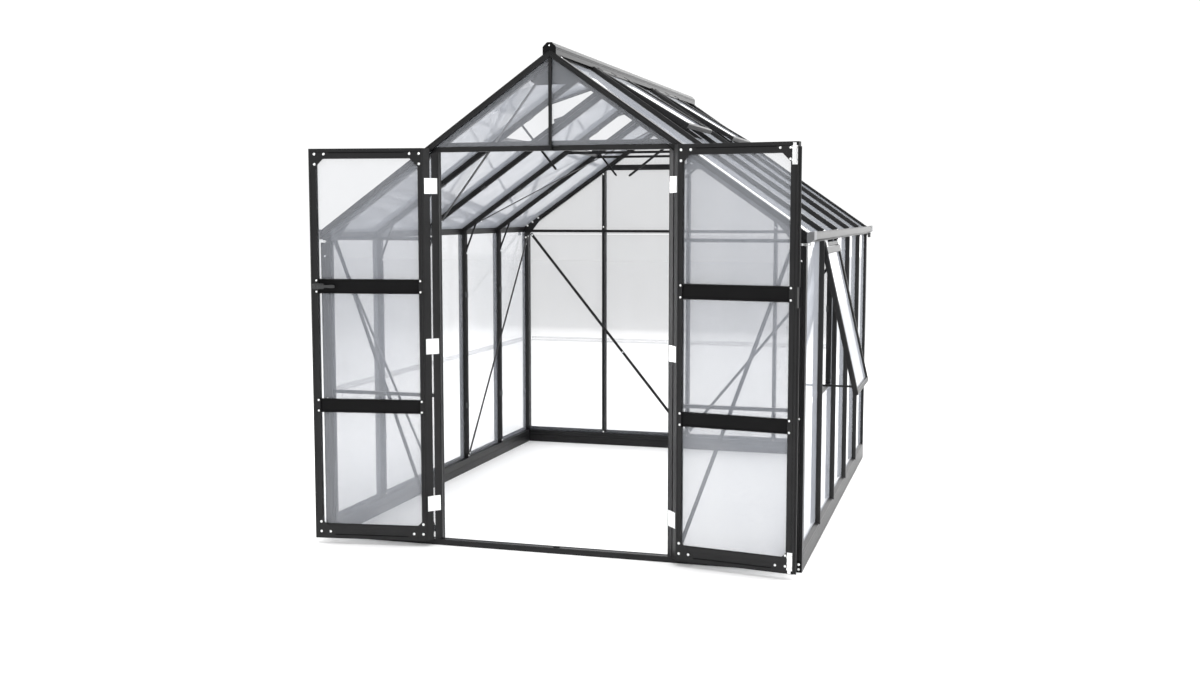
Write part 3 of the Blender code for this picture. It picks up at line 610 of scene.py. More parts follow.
RIDGE_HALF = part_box("ridge_bar")[1].x
cap_start = (RIDGE_HALF + 0.6 * MM) / math.cos(PITCH)
cap_stop = HALF / math.cos(PITCH)
beam_half = 12 * MM
for number in range(1, BAYS):
    y = frame_y(number)
    node = "frame_arch_" + str(number)
    for label, side in SIDES.items():
        tag = "_" + str(number) + "_" + label
        shape = bar(INNER_BAR, wall_run(side, y), LEDGE + GAP,
                    lambda w, d: roof_z(HALF - d, DEPTH) - 0.1 * MM)
        metal("wall_bar" + tag, shape, [node])
        shape = bar(INNER_BAR, slope_run(side, y),
                    lambda w, d: (beam_half + 0.2 * MM + d * math.sin(PITCH)) / math.cos(PITCH),
                    lambda w, d: (HALF - BAR_OUT + d * math.sin(PITCH)) / math.cos(PITCH))
        metal("roof_bar" + tag, shape, [node])
        shape = bar(CAP, wall_run(side, y), over_lip, WALL_TOP)
        metal("wall_cap" + tag, shape)
        shape = bar(CAP, slope_run(side, y), cap_start, cap_stop)
        metal("roof_cap" + tag, shape)
        shape = bmesh.new()
        for section in (SEAL, mirrored(SEAL)):
            extrude(shape, section, wall_run(side, y), SILL_TOP, WALL_TOP)
            bay = number if section is SEAL else number - 1
            vent_end = 0.664 if bay in VENT_BAYS else cap_start
            extrude(shape, section, slope_run(side, y), vent_end, cap_stop)
        piece("bar_seals" + tag, shape, "frame", rubber, edge=0)
print("frames at y =", [round(frame_y(n), 3) for n in range(1, BAYS)])

# %% [markdown]
# Small nylon clips snap over the bars from inside. They take the ties for shading and stop the
# slot's bolts from sliding. Each is a U that grips both flanks of the bar.

# %% Bar clips
CLIP = in_mm([(-13.2, 40), (-12, 38.6), (-11.2, 39), (-11.2, 50.2), (11.2, 50.2), (11.2, 39), (12, 38.6),
              (13.2, 40), (13.2, 51.4), (12, 52.4), (-12, 52.4), (-13.2, 51.4)])
for label, side in SIDES.items():
    shape = bmesh.new()
    for number in range(1, BAYS):
        y = frame_y(number)
        for s in (0.420, 1.060):
            extrude(shape, CLIP, slope_run(side, y), s, s + 0.036)
        for z in (0.430, 1.180):
            extrude(shape, CLIP, wall_run(side, y), z, z + 0.036)
    piece(label + "_bar_clips", shape, "frame", nylon, edge=0.3)

# %% [markdown]
# ## Collar ties and knee straps
# These are flat strips of aluminium with pressed round ends and one bolt at each. A strip with a
# low rolled bead along its middle is stiffer than a flat one, and the bead gives it a thin light
# line.

# %% Flat strips
def strip_section(width, thickness):
    """A flat strip with a low bead along its middle: width across, thickness along its normal."""
    w, t = width / 2, thickness
    return [(-w, 0.0), (w, 0.0), (w, t * 0.7), (w * 0.35, t * 0.7), (w * 0.2, t), (-w * 0.2, t),
            (-w * 0.35, t * 0.7), (-w, t * 0.7)]


def strip(shape, start, end, normal, width, thickness):
    place = straight(start, end, normal)
    length = (Vector(end) - Vector(start)).length
    extrude(shape, strip_section(width, thickness), place, 0.0, length)


def points_along(foot, top, shares, normal, lift):
    """Points on a strip's outer face, at shares of its length."""
    return [Vector(foot).lerp(Vector(top), t) + Vector(normal) * lift for t in shares]


TIE_Z = 2.130
for number in range(1, BAYS):
    y = frame_y(number)
    reach = roof_x(TIE_Z, DEPTH) + 0.012
    shape = bmesh.new()
    strip(shape, (-reach, y - 3 * MM, TIE_Z), (reach, y - 3 * MM, TIE_Z), (0, 1, 0), 16 * MM, 5.5 * MM)
    for side in SIDES.values():
        inner = HALF - DEPTH
        strip(shape, (side * (inner + 0.008), y - 3 * MM, 1.482),
              (side * (inner - 0.073), y - 3 * MM, 1.688), (0, 1, 0), 12 * MM, 5.5 * MM)
    metal("tie_and_straps_" + str(number), shape, ["frame_arch_" + str(number)], edge=0.4)

# %% [markdown]
# ## Ridge
# A capping sits astride both slopes and holds the vents' hinges. Its sides show two fine grooves
# near the top. A small plate with a screw closes each end. Under it a ridge beam carries the bars'
# upper ends and has a thin flange under the top edge of each pane.

# %% Ridge capping, end plates and beam
low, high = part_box("ridge_bar")
base = roof_z(RIDGE_HALF) + GAP
HALF_CAPPING = [(35, 0), (35, 21), (33.8, 22), (33.8, 24), (35, 25), (35, 29), (33.8, 30), (33.8, 32),
                (35, 33), (35, 36), (31, 41), (14, 57), (12, 59)]
right_half = [(x * MM, base + z * MM * (high.z - base) / (59 * MM)) for x, z in HALF_CAPPING]
outline = [(0.0, RIDGE + GAP)] + right_half + [(-x, z) for x, z in reversed(right_half)]
shape = bar(outline, run_y, low.y + 2 * MM, high.y - 2 * MM)
metal("ridge_capping", shape, ["ridge_bar"], edge=0.5)
for end, near, far in (("front", low.y, low.y + 1.9 * MM), ("rear", high.y - 1.9 * MM, high.y)):
    shape = bmesh.new()
    cover = [(0.0, RIDGE - 0.004), (0.030, roof_z(0.030) + 0.0015), (0.0345, base + 0.002),
             (0.0345, high.z - 0.024), (0.0118, high.z - 0.0008)]
    cover += [(-x, z) for x, z in reversed(cover[1:])]
    extrude(shape, cover, run_y, near, far)
    # The end plates take the painted-shade copy of the powder coat.
    piece("ridge_end_plate_" + end, shape, "frame", powder_painted_shade, edge=0.4)
    out = -1 if end == "front" else 1
    spot = near if end == "front" else far
    bolts("ridge_end_screw_" + end, "frame", [(0.0, spot, high.z - 0.016)], (0, out, 0), 9)
beam = [(beam_half, RIDGE - 0.074), (beam_half, roof_z(beam_half, 0.0260)), (0.058, roof_z(0.058, 0.0260)),
        (0.058, roof_z(0.058, 0.0222)), (beam_half, roof_z(beam_half, 0.0222)),
        (beam_half, roof_z(beam_half, 0.0006))]
shape = bar(beam + [(0.0, RIDGE - 0.4 * MM)] + [(-x, z) for x, z in reversed(beam)], run_y,
            FRONT + DEPTH + PLATE + GAP, BACK - DEPTH - PLATE - GAP)
metal("ridge_beam", shape, edge=0.5)

# %% [markdown]
# ## Eaves and gutters
# Along each eave a plate closes the top of the wall and holds the gutter, an open channel with a
# rolled lip. Its ends are moulded sleeves that push on, and a plated bracket holds each end to the
# post. Water leaves through a short outlet near the back.

# %% Gutters, sleeves and outlets
for label, side in SIDES.items():
    low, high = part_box(label + "_gutter")
    inner = HALF - PANE_IN
    shape = bmesh.new()
    eave = [(inner, EAVE_PLATE), (1.292, EAVE_PLATE), (1.292, 1.6185),
            (HALF, roof_z(HALF, PANE_IN) - 2 * GAP), (inner, roof_z(inner, PANE_IN) - 2 * GAP),
            (inner, 1.626), (inner + 1.4 * MM, 1.625), (inner + 1.4 * MM, 1.616), (inner, 1.615)]
    extrude(shape, [(side * x, z) for x, z in eave], run_y, inner_front, inner_back)
    metal(label + "_eave_plate", shape, [label + "_gutter"])
    lip = max(abs(low.x), abs(high.x))
    channel = [(1.2857, 1.604), (1.300, 1.604), (lip, 1.616), (lip, 1.645), (lip - 0.8 * MM, 1.6465),
               (lip - 0.8 * MM, 1.6485), (lip, 1.650), (lip, 1.653), (lip - 4.2 * MM, 1.653),
               (lip - 4.2 * MM, 1.650), (lip - 2.4 * MM, 1.649), (lip - 2.4 * MM, 1.6185), (1.298, 1.6085),
               (1.2857, 1.6085)]
    shape = bar([(side * x, z) for x, z in channel], run_y, low.y + 2 * MM, high.y - 2 * MM)
    metal(label + "_gutter_channel", shape, [label + "_gutter"], edge=0.4)
    for end, start, stop in (("front", low.y, low.y + 0.096), ("rear", high.y - 0.096, high.y)):
        skin = [(1.2932, 1.6022), (1.3006, 1.6022), (lip + 1.6 * MM, 1.6151), (lip + 1.6 * MM, 1.6548),
                (lip - 5 * MM, 1.6548), (lip - 5 * MM, 1.6532), (lip + 0.1 * MM, 1.6532),
                (lip + 0.1 * MM, 1.6161), (1.3000, 1.6039), (1.2932, 1.6039)]
        shape = bmesh.new()
        extrude(shape, [(side * x, z) for x, z in skin], run_y, start, stop)
        wall = [(1.2860, 1.6045), (1.300, 1.6045), (lip - 0.2 * MM, 1.6163), (lip - 0.2 * MM, 1.6525),
                (1.2945, 1.6525), (1.2860, 1.640)]
        near = start if end == "front" else stop - 1.8 * MM
        extrude(shape, [(side * x, z) for x, z in wall], run_y, near, near + 1.8 * MM)
        # The sleeves take the lighter nylon copy, a painted sheen.
        piece(label + "_gutter_sleeve_" + end, shape, "frame", nylon_painted_sheen, edge=0)
    shape = bmesh.new()
    outlet = [(11 * MM, 0.0), (11 * MM, 4 * MM), (9 * MM, 6 * MM), (9 * MM, 30 * MM), (8 * MM, 31 * MM),
              (7.4 * MM, 30 * MM), (7.4 * MM, 4 * MM)]
    lathe(shape, (side * 1.3045, high.y - 0.060, 1.6050), (0, 0, -1), outlet, 24)
    piece(label + "_gutter_outlet", shape, "frame", nylon, edge=0)
    for end, outer, turn in ENDS:
        shape = bmesh.new()
        hook = [(1.256, 1.586), (1.304, 1.586), (1.306, 1.590), (1.306, 1.602), (1.2995, 1.602),
                (1.298, 1.5985), (1.256, 1.5985)]
        extrude(shape, [(side * x, z) for x, z in hook], run_y, outer - turn * 2.2 * MM,
                outer - turn * 0.2 * MM)
        bolt(shape, (side * 1.294, outer - turn * 2.2 * MM, 1.5925), (0, -turn, 0), 10)
        bolt(shape, (side * 1.266, outer - turn * 2.2 * MM, 1.5925), (0, -turn, 0), 10)
        piece(label + "_gutter_bracket_" + end, shape, "frame", zinc, edge=0)
        normal = on_slope(side, 0, 1, 0) - on_slope(side, 0, 0, 0)
        points = [on_slope(side, s, 0.0, outer + turn * 0.019) for s in (1.548, 0.070)]
        bolts(label + "_rafter_screws_" + end, "frame", points, normal, 10)

# %% [markdown]
# ## Doorway
# Each jamb carries hinges on a face cut at 45 degrees, so that the open door can lie back beside
# it. Behind that face it is stepped back, which leaves a slot of daylight along the hinge line.
# The jambs run up to the rafters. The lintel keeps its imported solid, because it has the slide
# bolt's slot, and only gets eased edges and the powder coat.

# %% Jambs and hinge leaves
PIN_X = 0.640
PIN_Y = -0.045
jamb_low, jamb_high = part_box("right_door_jamb")


def on_mitre(side, offset, s):
    """A point on the 45 degree face: s from the pin, offset to the jamb's side (-) or the door's (+)."""
    step = math.sqrt(0.5)
    return side * (PIN_X - step * s - step * offset), PIN_Y + step * s - step * offset


def hinge_leaf(name, side, offset, centre, body, knuckles, turn=None):
    """A leaf plate lying on the 45 degree face, with its share of the hinge's barrel."""
    shape = bmesh.new()
    near, far = 0.4 * MM * offset, 2.7 * MM * offset
    outline = [on_mitre(side, near, 0.0022), on_mitre(side, near, 0.0365), on_mitre(side, far, 0.0365),
               on_mitre(side, far, 0.0022)]
    extrude(shape, outline, run_z, centre - 0.040, centre + 0.040)
    for k in knuckles:
        middle = (side * PIN_X, PIN_Y, centre - 0.040 + 0.016 * k + 0.0003)
        lathe(shape, middle, (0, 0, 1),
              [(2.6 * MM, 0.0), (3.0 * MM, 0.0004), (3.0 * MM, 0.0150), (2.6 * MM, 0.0154)], 14)
    return piece(name, shape, body, mill, edge=0.3, turn=turn)


HINGES = (0.226, 1.053, 1.880)
for label, side in SIDES.items():
    mitre = [on_mitre(1, -depth * MM, s * MM) for depth, s in ((2.5, 44.9), (2.5, 43.2), (4.0, 42.5),
                                                               (4.0, 40.5), (2.5, 39.5), (2.5, 7.0))]
    outline = [(0.610, 0.0248), (0.610, 0.016), (0.6115, 0.015), (0.6115, 0.010), (0.610, 0.009)]
    outline += [(0.610, mitre[0][1])] + mitre[1:] + [(0.6385, mitre[-1][1])]
    outline += [(0.6385, -0.012), (0.650, -0.012), (0.650, 0.0248)]
    shape = bar([(side * x, y) for x, y in outline], run_z, THRESHOLD_TOP + GAP,
                lambda x, y: roof_z(x, DEPTH) - 2 * GAP)
    metal(label + "_jamb", shape, [label + "_door_jamb"], edge=0.5)
    for number, centre in enumerate(HINGES):
        hinge_leaf(label + "_jamb_leaf_" + str(number), side, -1, centre, "frame", (0, 2, 4))
print("jambs from", round(jamb_low.z, 4), "to", round(jamb_high.z, 4))

# %% Front bay rails, brace and gable glazing rail
for label, side in SIDES.items():
    low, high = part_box("front_" + label + "_bay_rails")
    inner = min(abs(low.x), abs(high.x))
    outer = max(abs(low.x), abs(high.x))
    shape = bmesh.new()
    RAIL = in_mm([(-3.7, -9), (15, -9), (15, -3), (13.6, -2), (13.6, 2), (15, 3), (15, 9), (-3.7, 9)])
    for z in (EAVE_RAIL, MID_RAIL):
        extrude(shape, [(y, z + b) for y, b in RAIL], run_x, side * inner, side * outer)
    metal("front_" + label + "_rails", shape, ["front_" + label + "_bay_rails"], edge=0.5)
    shape = bmesh.new()
    top = (side * (outer - 0.012), 15.2 * MM, EAVE_RAIL)
    foot = (side * (inner + 0.012), 15.2 * MM, 0.060)
    strip(shape, foot, top, (0, 1, 0), 20 * MM, 4 * MM)
    metal("front_" + label + "_bay_brace", shape, ["front_" + label + "_bay_rails"], edge=0.4)
    bolts("front_" + label + "_brace_bolts", "frame",
          points_along(foot, top, (0.012, 0.985), (0, 1, 0), 3 * MM), (0, 1, 0), 12)

# %% [markdown]
# ## Side and back walls
# Flat braces run from each top corner of a side wall to the foot of a wall bar. The back wall has
# three studs with caps outside, a rail at eave height, an upper rail, and two braces in a V.

# %% Side braces
for label, side in SIDES.items():
    wall = side * (HALF - DEPTH - GAP)
    for end, top_y, foot_frame in (("front", inner_front + 0.012, 2), ("rear", inner_back - 0.012, 3)):
        shape = bmesh.new()
        foot, top = (wall, frame_y(foot_frame), 0.110), (wall, top_y, 1.580)
        strip(shape, foot, top, (-side, 0, 0), 20 * MM, 5.5 * MM)
        metal(end + "_" + label + "_wall_brace", shape, [end + "_" + label + "_brace"], edge=0.4)
        points = points_along(foot, top, (0.008, 0.992), (-side, 0, 0), 5 * MM)
        bolts(end + "_" + label + "_wall_brace_bolts", "frame", points, (-side, 0, 0), 12)

# %% Back wall studs, rails, caps and V brace
STUD_STEP = HALF / 2
for k, x in enumerate((-STUD_STEP, 0.0, STUD_STEP)):
    shape = bar([(x + w, BACK - d) for w, d in INNER_BAR], run_z, LEDGE + GAP,
                lambda a, b: roof_z(a, DEPTH) - 2 * GAP)
    metal("rear_stud_" + str(k), shape, ["rear_wall_studs"])
    shape = bar([(x + w, BACK - d) for w, d in CAP], run_z, lambda a, b: over_lip(a, BACK - b),
                lambda a, b: glass_top(a))
    metal("rear_stud_cap_" + str(k), shape)
    shape = bmesh.new()
    for section in (SEAL, mirrored(SEAL)):
        extrude(shape, [(x + w, BACK - d) for w, d in section], run_z, SILL_TOP,
                lambda a, b: glass_top(a) - 2 * GAP)
    piece("rear_stud_seals_" + str(k), shape, "frame", rubber, edge=0)
shape = bmesh.new()
CROSS = in_mm([(23.4, -10), (36, -10), (48, -10), (48, -3), (46.4, -2), (46.4, 2), (48, 3), (48, 10),
               (23.4, 10)])
reach = HALF - DEPTH - GAP
extrude(shape, [(BACK - d, EAVE_RAIL + b) for d, b in CROSS], run_x, -reach, reach)
upper = in_mm([(23.4, -20), (48, -20), (48, -12), (46.4, -11), (46.4, 11), (48, 12), (48, 20), (23.4, 20)])
extrude(shape, [(BACK - d, 2.078 + b) for d, b in upper], run_x, lambda y, z: -roof_x(z, DEPTH) + 2 * GAP,
        lambda y, z: roof_x(z, DEPTH) - 2 * GAP)
metal("rear_rails", shape, ["rear_wall_studs"], edge=0.5)
shape = bmesh.new()
inside = BACK - DEPTH - GAP
spots = []
for side in SIDES.values():
    top, foot = (side * (reach - 0.022), inside, 1.590), (side * 0.010, inside, 0.120)
    strip(shape, foot, top, (0, -1, 0), 20 * MM, 5.5 * MM)
    spots += points_along(foot, top, (0.01, 0.40, 0.992), (0, -1, 0), 5 * MM)
metal("rear_v_brace", shape, ["rear_wall_brace"], edge=0.4)
bolts("rear_v_brace_bolts", "frame", spots, (0, -1, 0), 12)

# %% Fixing bolts at bar feet and on the rails
for label, side in SIDES.items():
    inner = side * (HALF - DEPTH)
    points = [(inner, frame_y(number), z) for number in range(1, BAYS) for z in (0.105, 1.475)]
    bolts(label + "_wall_bar_bolts", "frame", points, (-side, 0, 0), 11)
points = [(x, BACK - DEPTH, z) for x in (-STUD_STEP, 0.0, STUD_STEP) for z in (0.100, 1.640, 2.030)]
bolts("rear_stud_bolts", "frame", points, (0, -1, 0), 11)

# %% [markdown]
# ## Roof braces and vent cross bars
# Under the roof, a long flat strip on each slope runs from the ridge at each gable down to the
# eave two bays along, which keeps the frames square. A cross bar closes the roof below each vent.

# %% Roof braces and cross bars
for label, side in SIDES.items():
    for end, ridge_y, eave_frame in (("front", FRONT + DEPTH + 0.020, 2),
                                     ("rear", BACK - DEPTH - 0.020, 3)):
        shape = bmesh.new()
        top = on_slope(side, 0.095, -DEPTH - 0.2 * MM, ridge_y)
        foot = on_slope(side, 1.440, -DEPTH - 0.2 * MM, frame_y(eave_frame))
        normal = -(on_slope(side, 0, 1, 0) - on_slope(side, 0, 0, 0))
        strip(shape, top, foot, normal, 24 * MM, 3.5 * MM)
        metal(end + "_" + label + "_roof_brace", shape, edge=0.3)
        bolts(end + "_" + label + "_roof_brace_bolts", "frame",
              points_along(top, foot, (0.012, 0.988), normal, 3 * MM), normal, 12)
    for bay in VENT_BAYS:
        shape = bmesh.new()
        s0 = 0.640
        section = in_mm([(0, 22.6), (25, 22.6), (25, 27), (23, 28), (23, 42), (25, 43), (25, 45), (0, 45),
                         (0, 30), (2, 29), (2, 24)])
        extrude(shape, section, lambda s, d, y: on_slope(side, s0 + s, -d, y),
                frame_y(bay) + BAR / 2 + GAP, frame_y(bay + 1) - BAR / 2 - GAP)
        metal("vent_cross_bar_" + label + "_" + str(bay), shape, ["frame_arch_" + str(bay)], edge=0.4)
shape = bmesh.new()
inner = HALF - DEPTH + 0.004
window_rail = [(inner, 0.752), (HALF - BAR_OUT - 0.001, 0.752), (HALF - BAR_OUT - 0.001, 0.771),
               (inner, 0.771), (inner, 0.764), (inner + 0.0014, 0.763), (inner + 0.0014, 0.760),
               (inner, 0.759)]
extrude(shape, window_rail, run_y, frame_y(1) + BAR / 2 + GAP, frame_y(2) - BAR / 2 - GAP)
metal("window_sill_rail", shape, ["frame_arch_1"], edge=0.4)

# %% [markdown]
# ## Panes
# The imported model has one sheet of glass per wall. Their edges stop under the caps, so there is a
# real gap between them.

# %% Wall, gable and roof panes
def pane(name, outline, put, thin, stands_for, finish=glass):
    """A cut pane, drawn in the plane of its wall. thin holds the depths of its two faces."""
    shape = bar(outline, put, thin[0], thin[1])
    return piece(name, shape, "frame", finish, stands_for, edge=0.3)


def rectangle(a0, a1, b0, b1):
    return [(a0, b0), (a1, b0), (a1, b1), (a0, b1)]


def joint_strip(name, put, a0, a1, b, near, far):
    """The clear strip that laps the joint between two panes on the weather side."""
    shape = bar(rectangle(a0, a1, b - 17 * MM, b + 17 * MM), put, near, far)
    return piece(name, shape, "frame", glass, edge=0.4)


pane_low, pane_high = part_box("left_wall_glass")
for label, side in SIDES.items():
    def on_wall(y, z, x):
        return Vector((x, y, z))
    faces = (side * (HALF - PANE_OUT), side * (HALF - PANE_IN))
    for bay in range(BAYS):
        y0 = max(frame_y(bay) + 1.5 * MM, pane_low.y)
        y1 = min(frame_y(bay + 1) - 1.5 * MM, pane_high.y)
        tag = "_" + str(bay)
        has_window = label == "right" and bay == WINDOW_BAY
        split = 0.764 if has_window else MID_RAIL
        pane(label + "_wall_pane_low" + tag, rectangle(y0, y1, LEDGE + GAP, split - 1 * MM), on_wall,
             faces, [label + "_wall_glass"])
        if not has_window:
            pane(label + "_wall_pane_high" + tag, rectangle(y0, y1, split + 1 * MM, pane_high.z), on_wall,
                 faces, [label + "_wall_glass"])
            a0, a1 = y0 + 12 * MM, y1 - 12 * MM
            joint_strip(label + "_wall_joint_out" + tag, on_wall, a0, a1, split, faces[0],
                        faces[0] + side * 1.2 * MM)

y_faces = (FRONT + PANE_OUT, FRONT + PANE_IN)


def on_gable(x, z, y):
    return Vector((x, y, z))


for label, side in SIDES.items():
    low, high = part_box("front_" + label + "_glass")
    inner, outer = min(abs(low.x), abs(high.x)), max(abs(low.x), abs(high.x))
    pane("front_" + label + "_pane_low",
         [(side * a, b) for a, b in rectangle(inner, outer, low.z, MID_RAIL - 1 * MM)], on_gable, y_faces,
         ["front_" + label + "_glass"])
    top = [(inner, MID_RAIL + 1 * MM), (outer, MID_RAIL + 1 * MM), (outer, glass_top(outer)),
           (inner, glass_top(inner))]
    pane("front_" + label + "_pane_high", [(side * a, b) for a, b in top], on_gable, y_faces,
         ["front_" + label + "_glass"])
    low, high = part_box("front_gable_glass")
    triangle = [(1.5 * MM, low.z), (high.x, low.z), (1.5 * MM, high.z - 1 * MM)]
    pane("gable_pane_" + label, [(side * a, b) for a, b in triangle], on_gable, y_faces,
         ["front_gable_glass"])

rear_low, rear_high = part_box("rear_wall_glass")
rear_faces = (BACK - PANE_IN, BACK - PANE_OUT)
columns = (-rear_high.x, -STUD_STEP, 0.0, STUD_STEP, rear_high.x)
for k, (x0, x1) in enumerate(zip(columns, columns[1:])):
    a = x0 + (0.0 if k == 0 else 1.5 * MM)
    b = x1 - (0.0 if k == 3 else 1.5 * MM)
    pane("rear_pane_low_" + str(k), rectangle(a, b, rear_low.z, MID_RAIL - 1 * MM), on_gable, rear_faces,
         ["rear_wall_glass"], glass_painted_shade)
    pane("rear_pane_mid_" + str(k), rectangle(a, b, MID_RAIL + 1 * MM, 1.584), on_gable, rear_faces,
         ["rear_wall_glass"], glass_painted_shade)
    pane("rear_pane_high_" + str(k), [(a, 1.586), (b, 1.586), (b, glass_top(b)), (a, glass_top(a))],
         on_gable, rear_faces, ["rear_wall_glass"], glass_painted_shade)
    a0, a1 = a + 12 * MM, b - 12 * MM
    joint_strip("rear_joint_" + str(k), on_gable, a0, a1, MID_RAIL, BACK - PANE_OUT,
                BACK - PANE_OUT + 1.2 * MM)

for label, side in SIDES.items():
    def on_roof(y, s, p):
        return on_slope(side, s, p, y)
    for bay in range(BAYS):
        y0 = max(frame_y(bay) + 1.5 * MM, pane_low.y)
        y1 = min(frame_y(bay + 1) - 1.5 * MM, pane_high.y)
        s0 = 0.652 if bay in VENT_BAYS else (RIDGE_HALF + 1 * MM) / math.cos(PITCH)
        s1 = (HALF + 0.005) / math.cos(PITCH)
        pane(label + "_roof_pane_" + str(bay), rectangle(y0, y1, s0, s1), on_roof, (-PANE_IN, -PANE_OUT),
             [label + "_roof_glass"])
print("panes are cut to", BAYS, "bays, joint at", MID_RAIL)

# %% [markdown]
# ## Doors
# A door is four sections round three panes, with two wider cross rails behind the glass. The
# bottom rail has a sloped ledge inside, which sheds drips. On its inner side each corner has a
# plate and three bolts. The hinge stile is cut at 45 degrees to match the jamb. Everything is
# modelled with the door shut, where it is square to the axes, and one turn about the hinge then
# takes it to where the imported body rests.

# %% Turning from shut to rest
JOINTS = {joint["name"]: joint for joint in frame["joints"]}


def from_shut(name, shut_degrees):
    """The turn that carries a piece from its shut place to where its body rests."""
    joint = JOINTS[name]
    place = Matrix.Translation(Vector(joint["pos_m"]))
    swing = Matrix.Rotation(math.radians(-shut_degrees), 4, Vector(joint["axis"]))
    return place @ swing @ place.inverted()


door_turns = {"left": from_shut("left_door_swing", JOINTS["left_door_swing"]["range_deg"][1]),
              "right": from_shut("right_door_swing", JOINTS["right_door_swing"]["range_deg"][0])}
print("door hinge at", JOINTS["left_door_swing"]["pos_m"])

# %% Door sections
OUT_Y = PIN_Y
IN_Y = OUT_Y + 33 * MM
FREE = 3 * MM
STILE = 39 * MM
HINGE_STILE = 23 * MM
BACK_X = PIN_X - 33 * MM - 2.5 * MM * math.sqrt(2)
OPEN_X = (FREE + STILE, BACK_X - HINGE_STILE)
DOOR_Z = (0.030, 2.072)
OPEN_Z = (DOOR_Z[0] + 58 * MM, DOOR_Z[1] - 50 * MM)
WEATHERED = 17 * MM
RAILS = ((0.702, 0.772), (1.327, 1.399))
FREE_STILE = in_mm([(0, 0), (37, 0), (39, 2), (39, 13.4), (30, 13.4), (30, 18.6), (39, 18.6), (39, 31),
                    (37.5, 33), (14, 33), (14, 31.2), (11.5, 31.2), (11.5, 33), (4, 33), (2.4, 31.4),
                    (0, 31.4), (0, 20), (2.5, 20), (2.5, 13), (0, 13)])


def hinge_stile():
    """The hinge stile's section, in x and y, for a right-hand door."""
    x1 = OPEN_X[1]
    a, b = Vector((BACK_X + 33 * MM, OUT_Y)), Vector((BACK_X, IN_Y))
    inward = Vector((-1, -1)).normalized() * 1.5 * MM
    groove = [a.lerp(b, 0.86), a.lerp(b, 0.87) + inward, a.lerp(b, 0.93) + inward, a.lerp(b, 0.94)]
    points = [(x1 + 2 * MM, OUT_Y), tuple(a)] + [tuple(p) for p in groove] + [tuple(b)]
    points += [(x1 + 19.5 * MM, IN_Y), (x1 + 19.5 * MM, IN_Y - 2.5 * MM), (x1 + 17 * MM, IN_Y - 2.5 * MM),
               (x1 + 17 * MM, IN_Y), (x1 + 1.5 * MM, IN_Y), (x1, IN_Y - 2 * MM), (x1, OUT_Y + 18.6 * MM),
               (x1 + 9 * MM, OUT_Y + 18.6 * MM), (x1 + 9 * MM, OUT_Y + 13.4 * MM), (x1, OUT_Y + 13.4 * MM),
               (x1, OUT_Y + 2 * MM)]
    return points


def end_rail(low, high, opening_above):
    """A top or bottom rail's section, in y and z, with the pane's groove on its opening side."""
    height = (high - low) / MM
    points = [(0, 0), (33, 0), (33, 17.5), (20, 17.5), (20, 24), (33, 24), (33, height - 2), (31, height)]
    if opening_above:
        points += [(31, height + 2), (19, height + WEATHERED / MM)]
    points += [(18.6, height), (18.6, height - 9), (13.4, height - 9), (13.4, height), (2, height),
               (0, height - 2)]
    if opening_above:
        return [(OUT_Y + a * MM, low + b * MM) for a, b in points]
    return [(OUT_Y + a * MM, high - b * MM) for a, b in points]


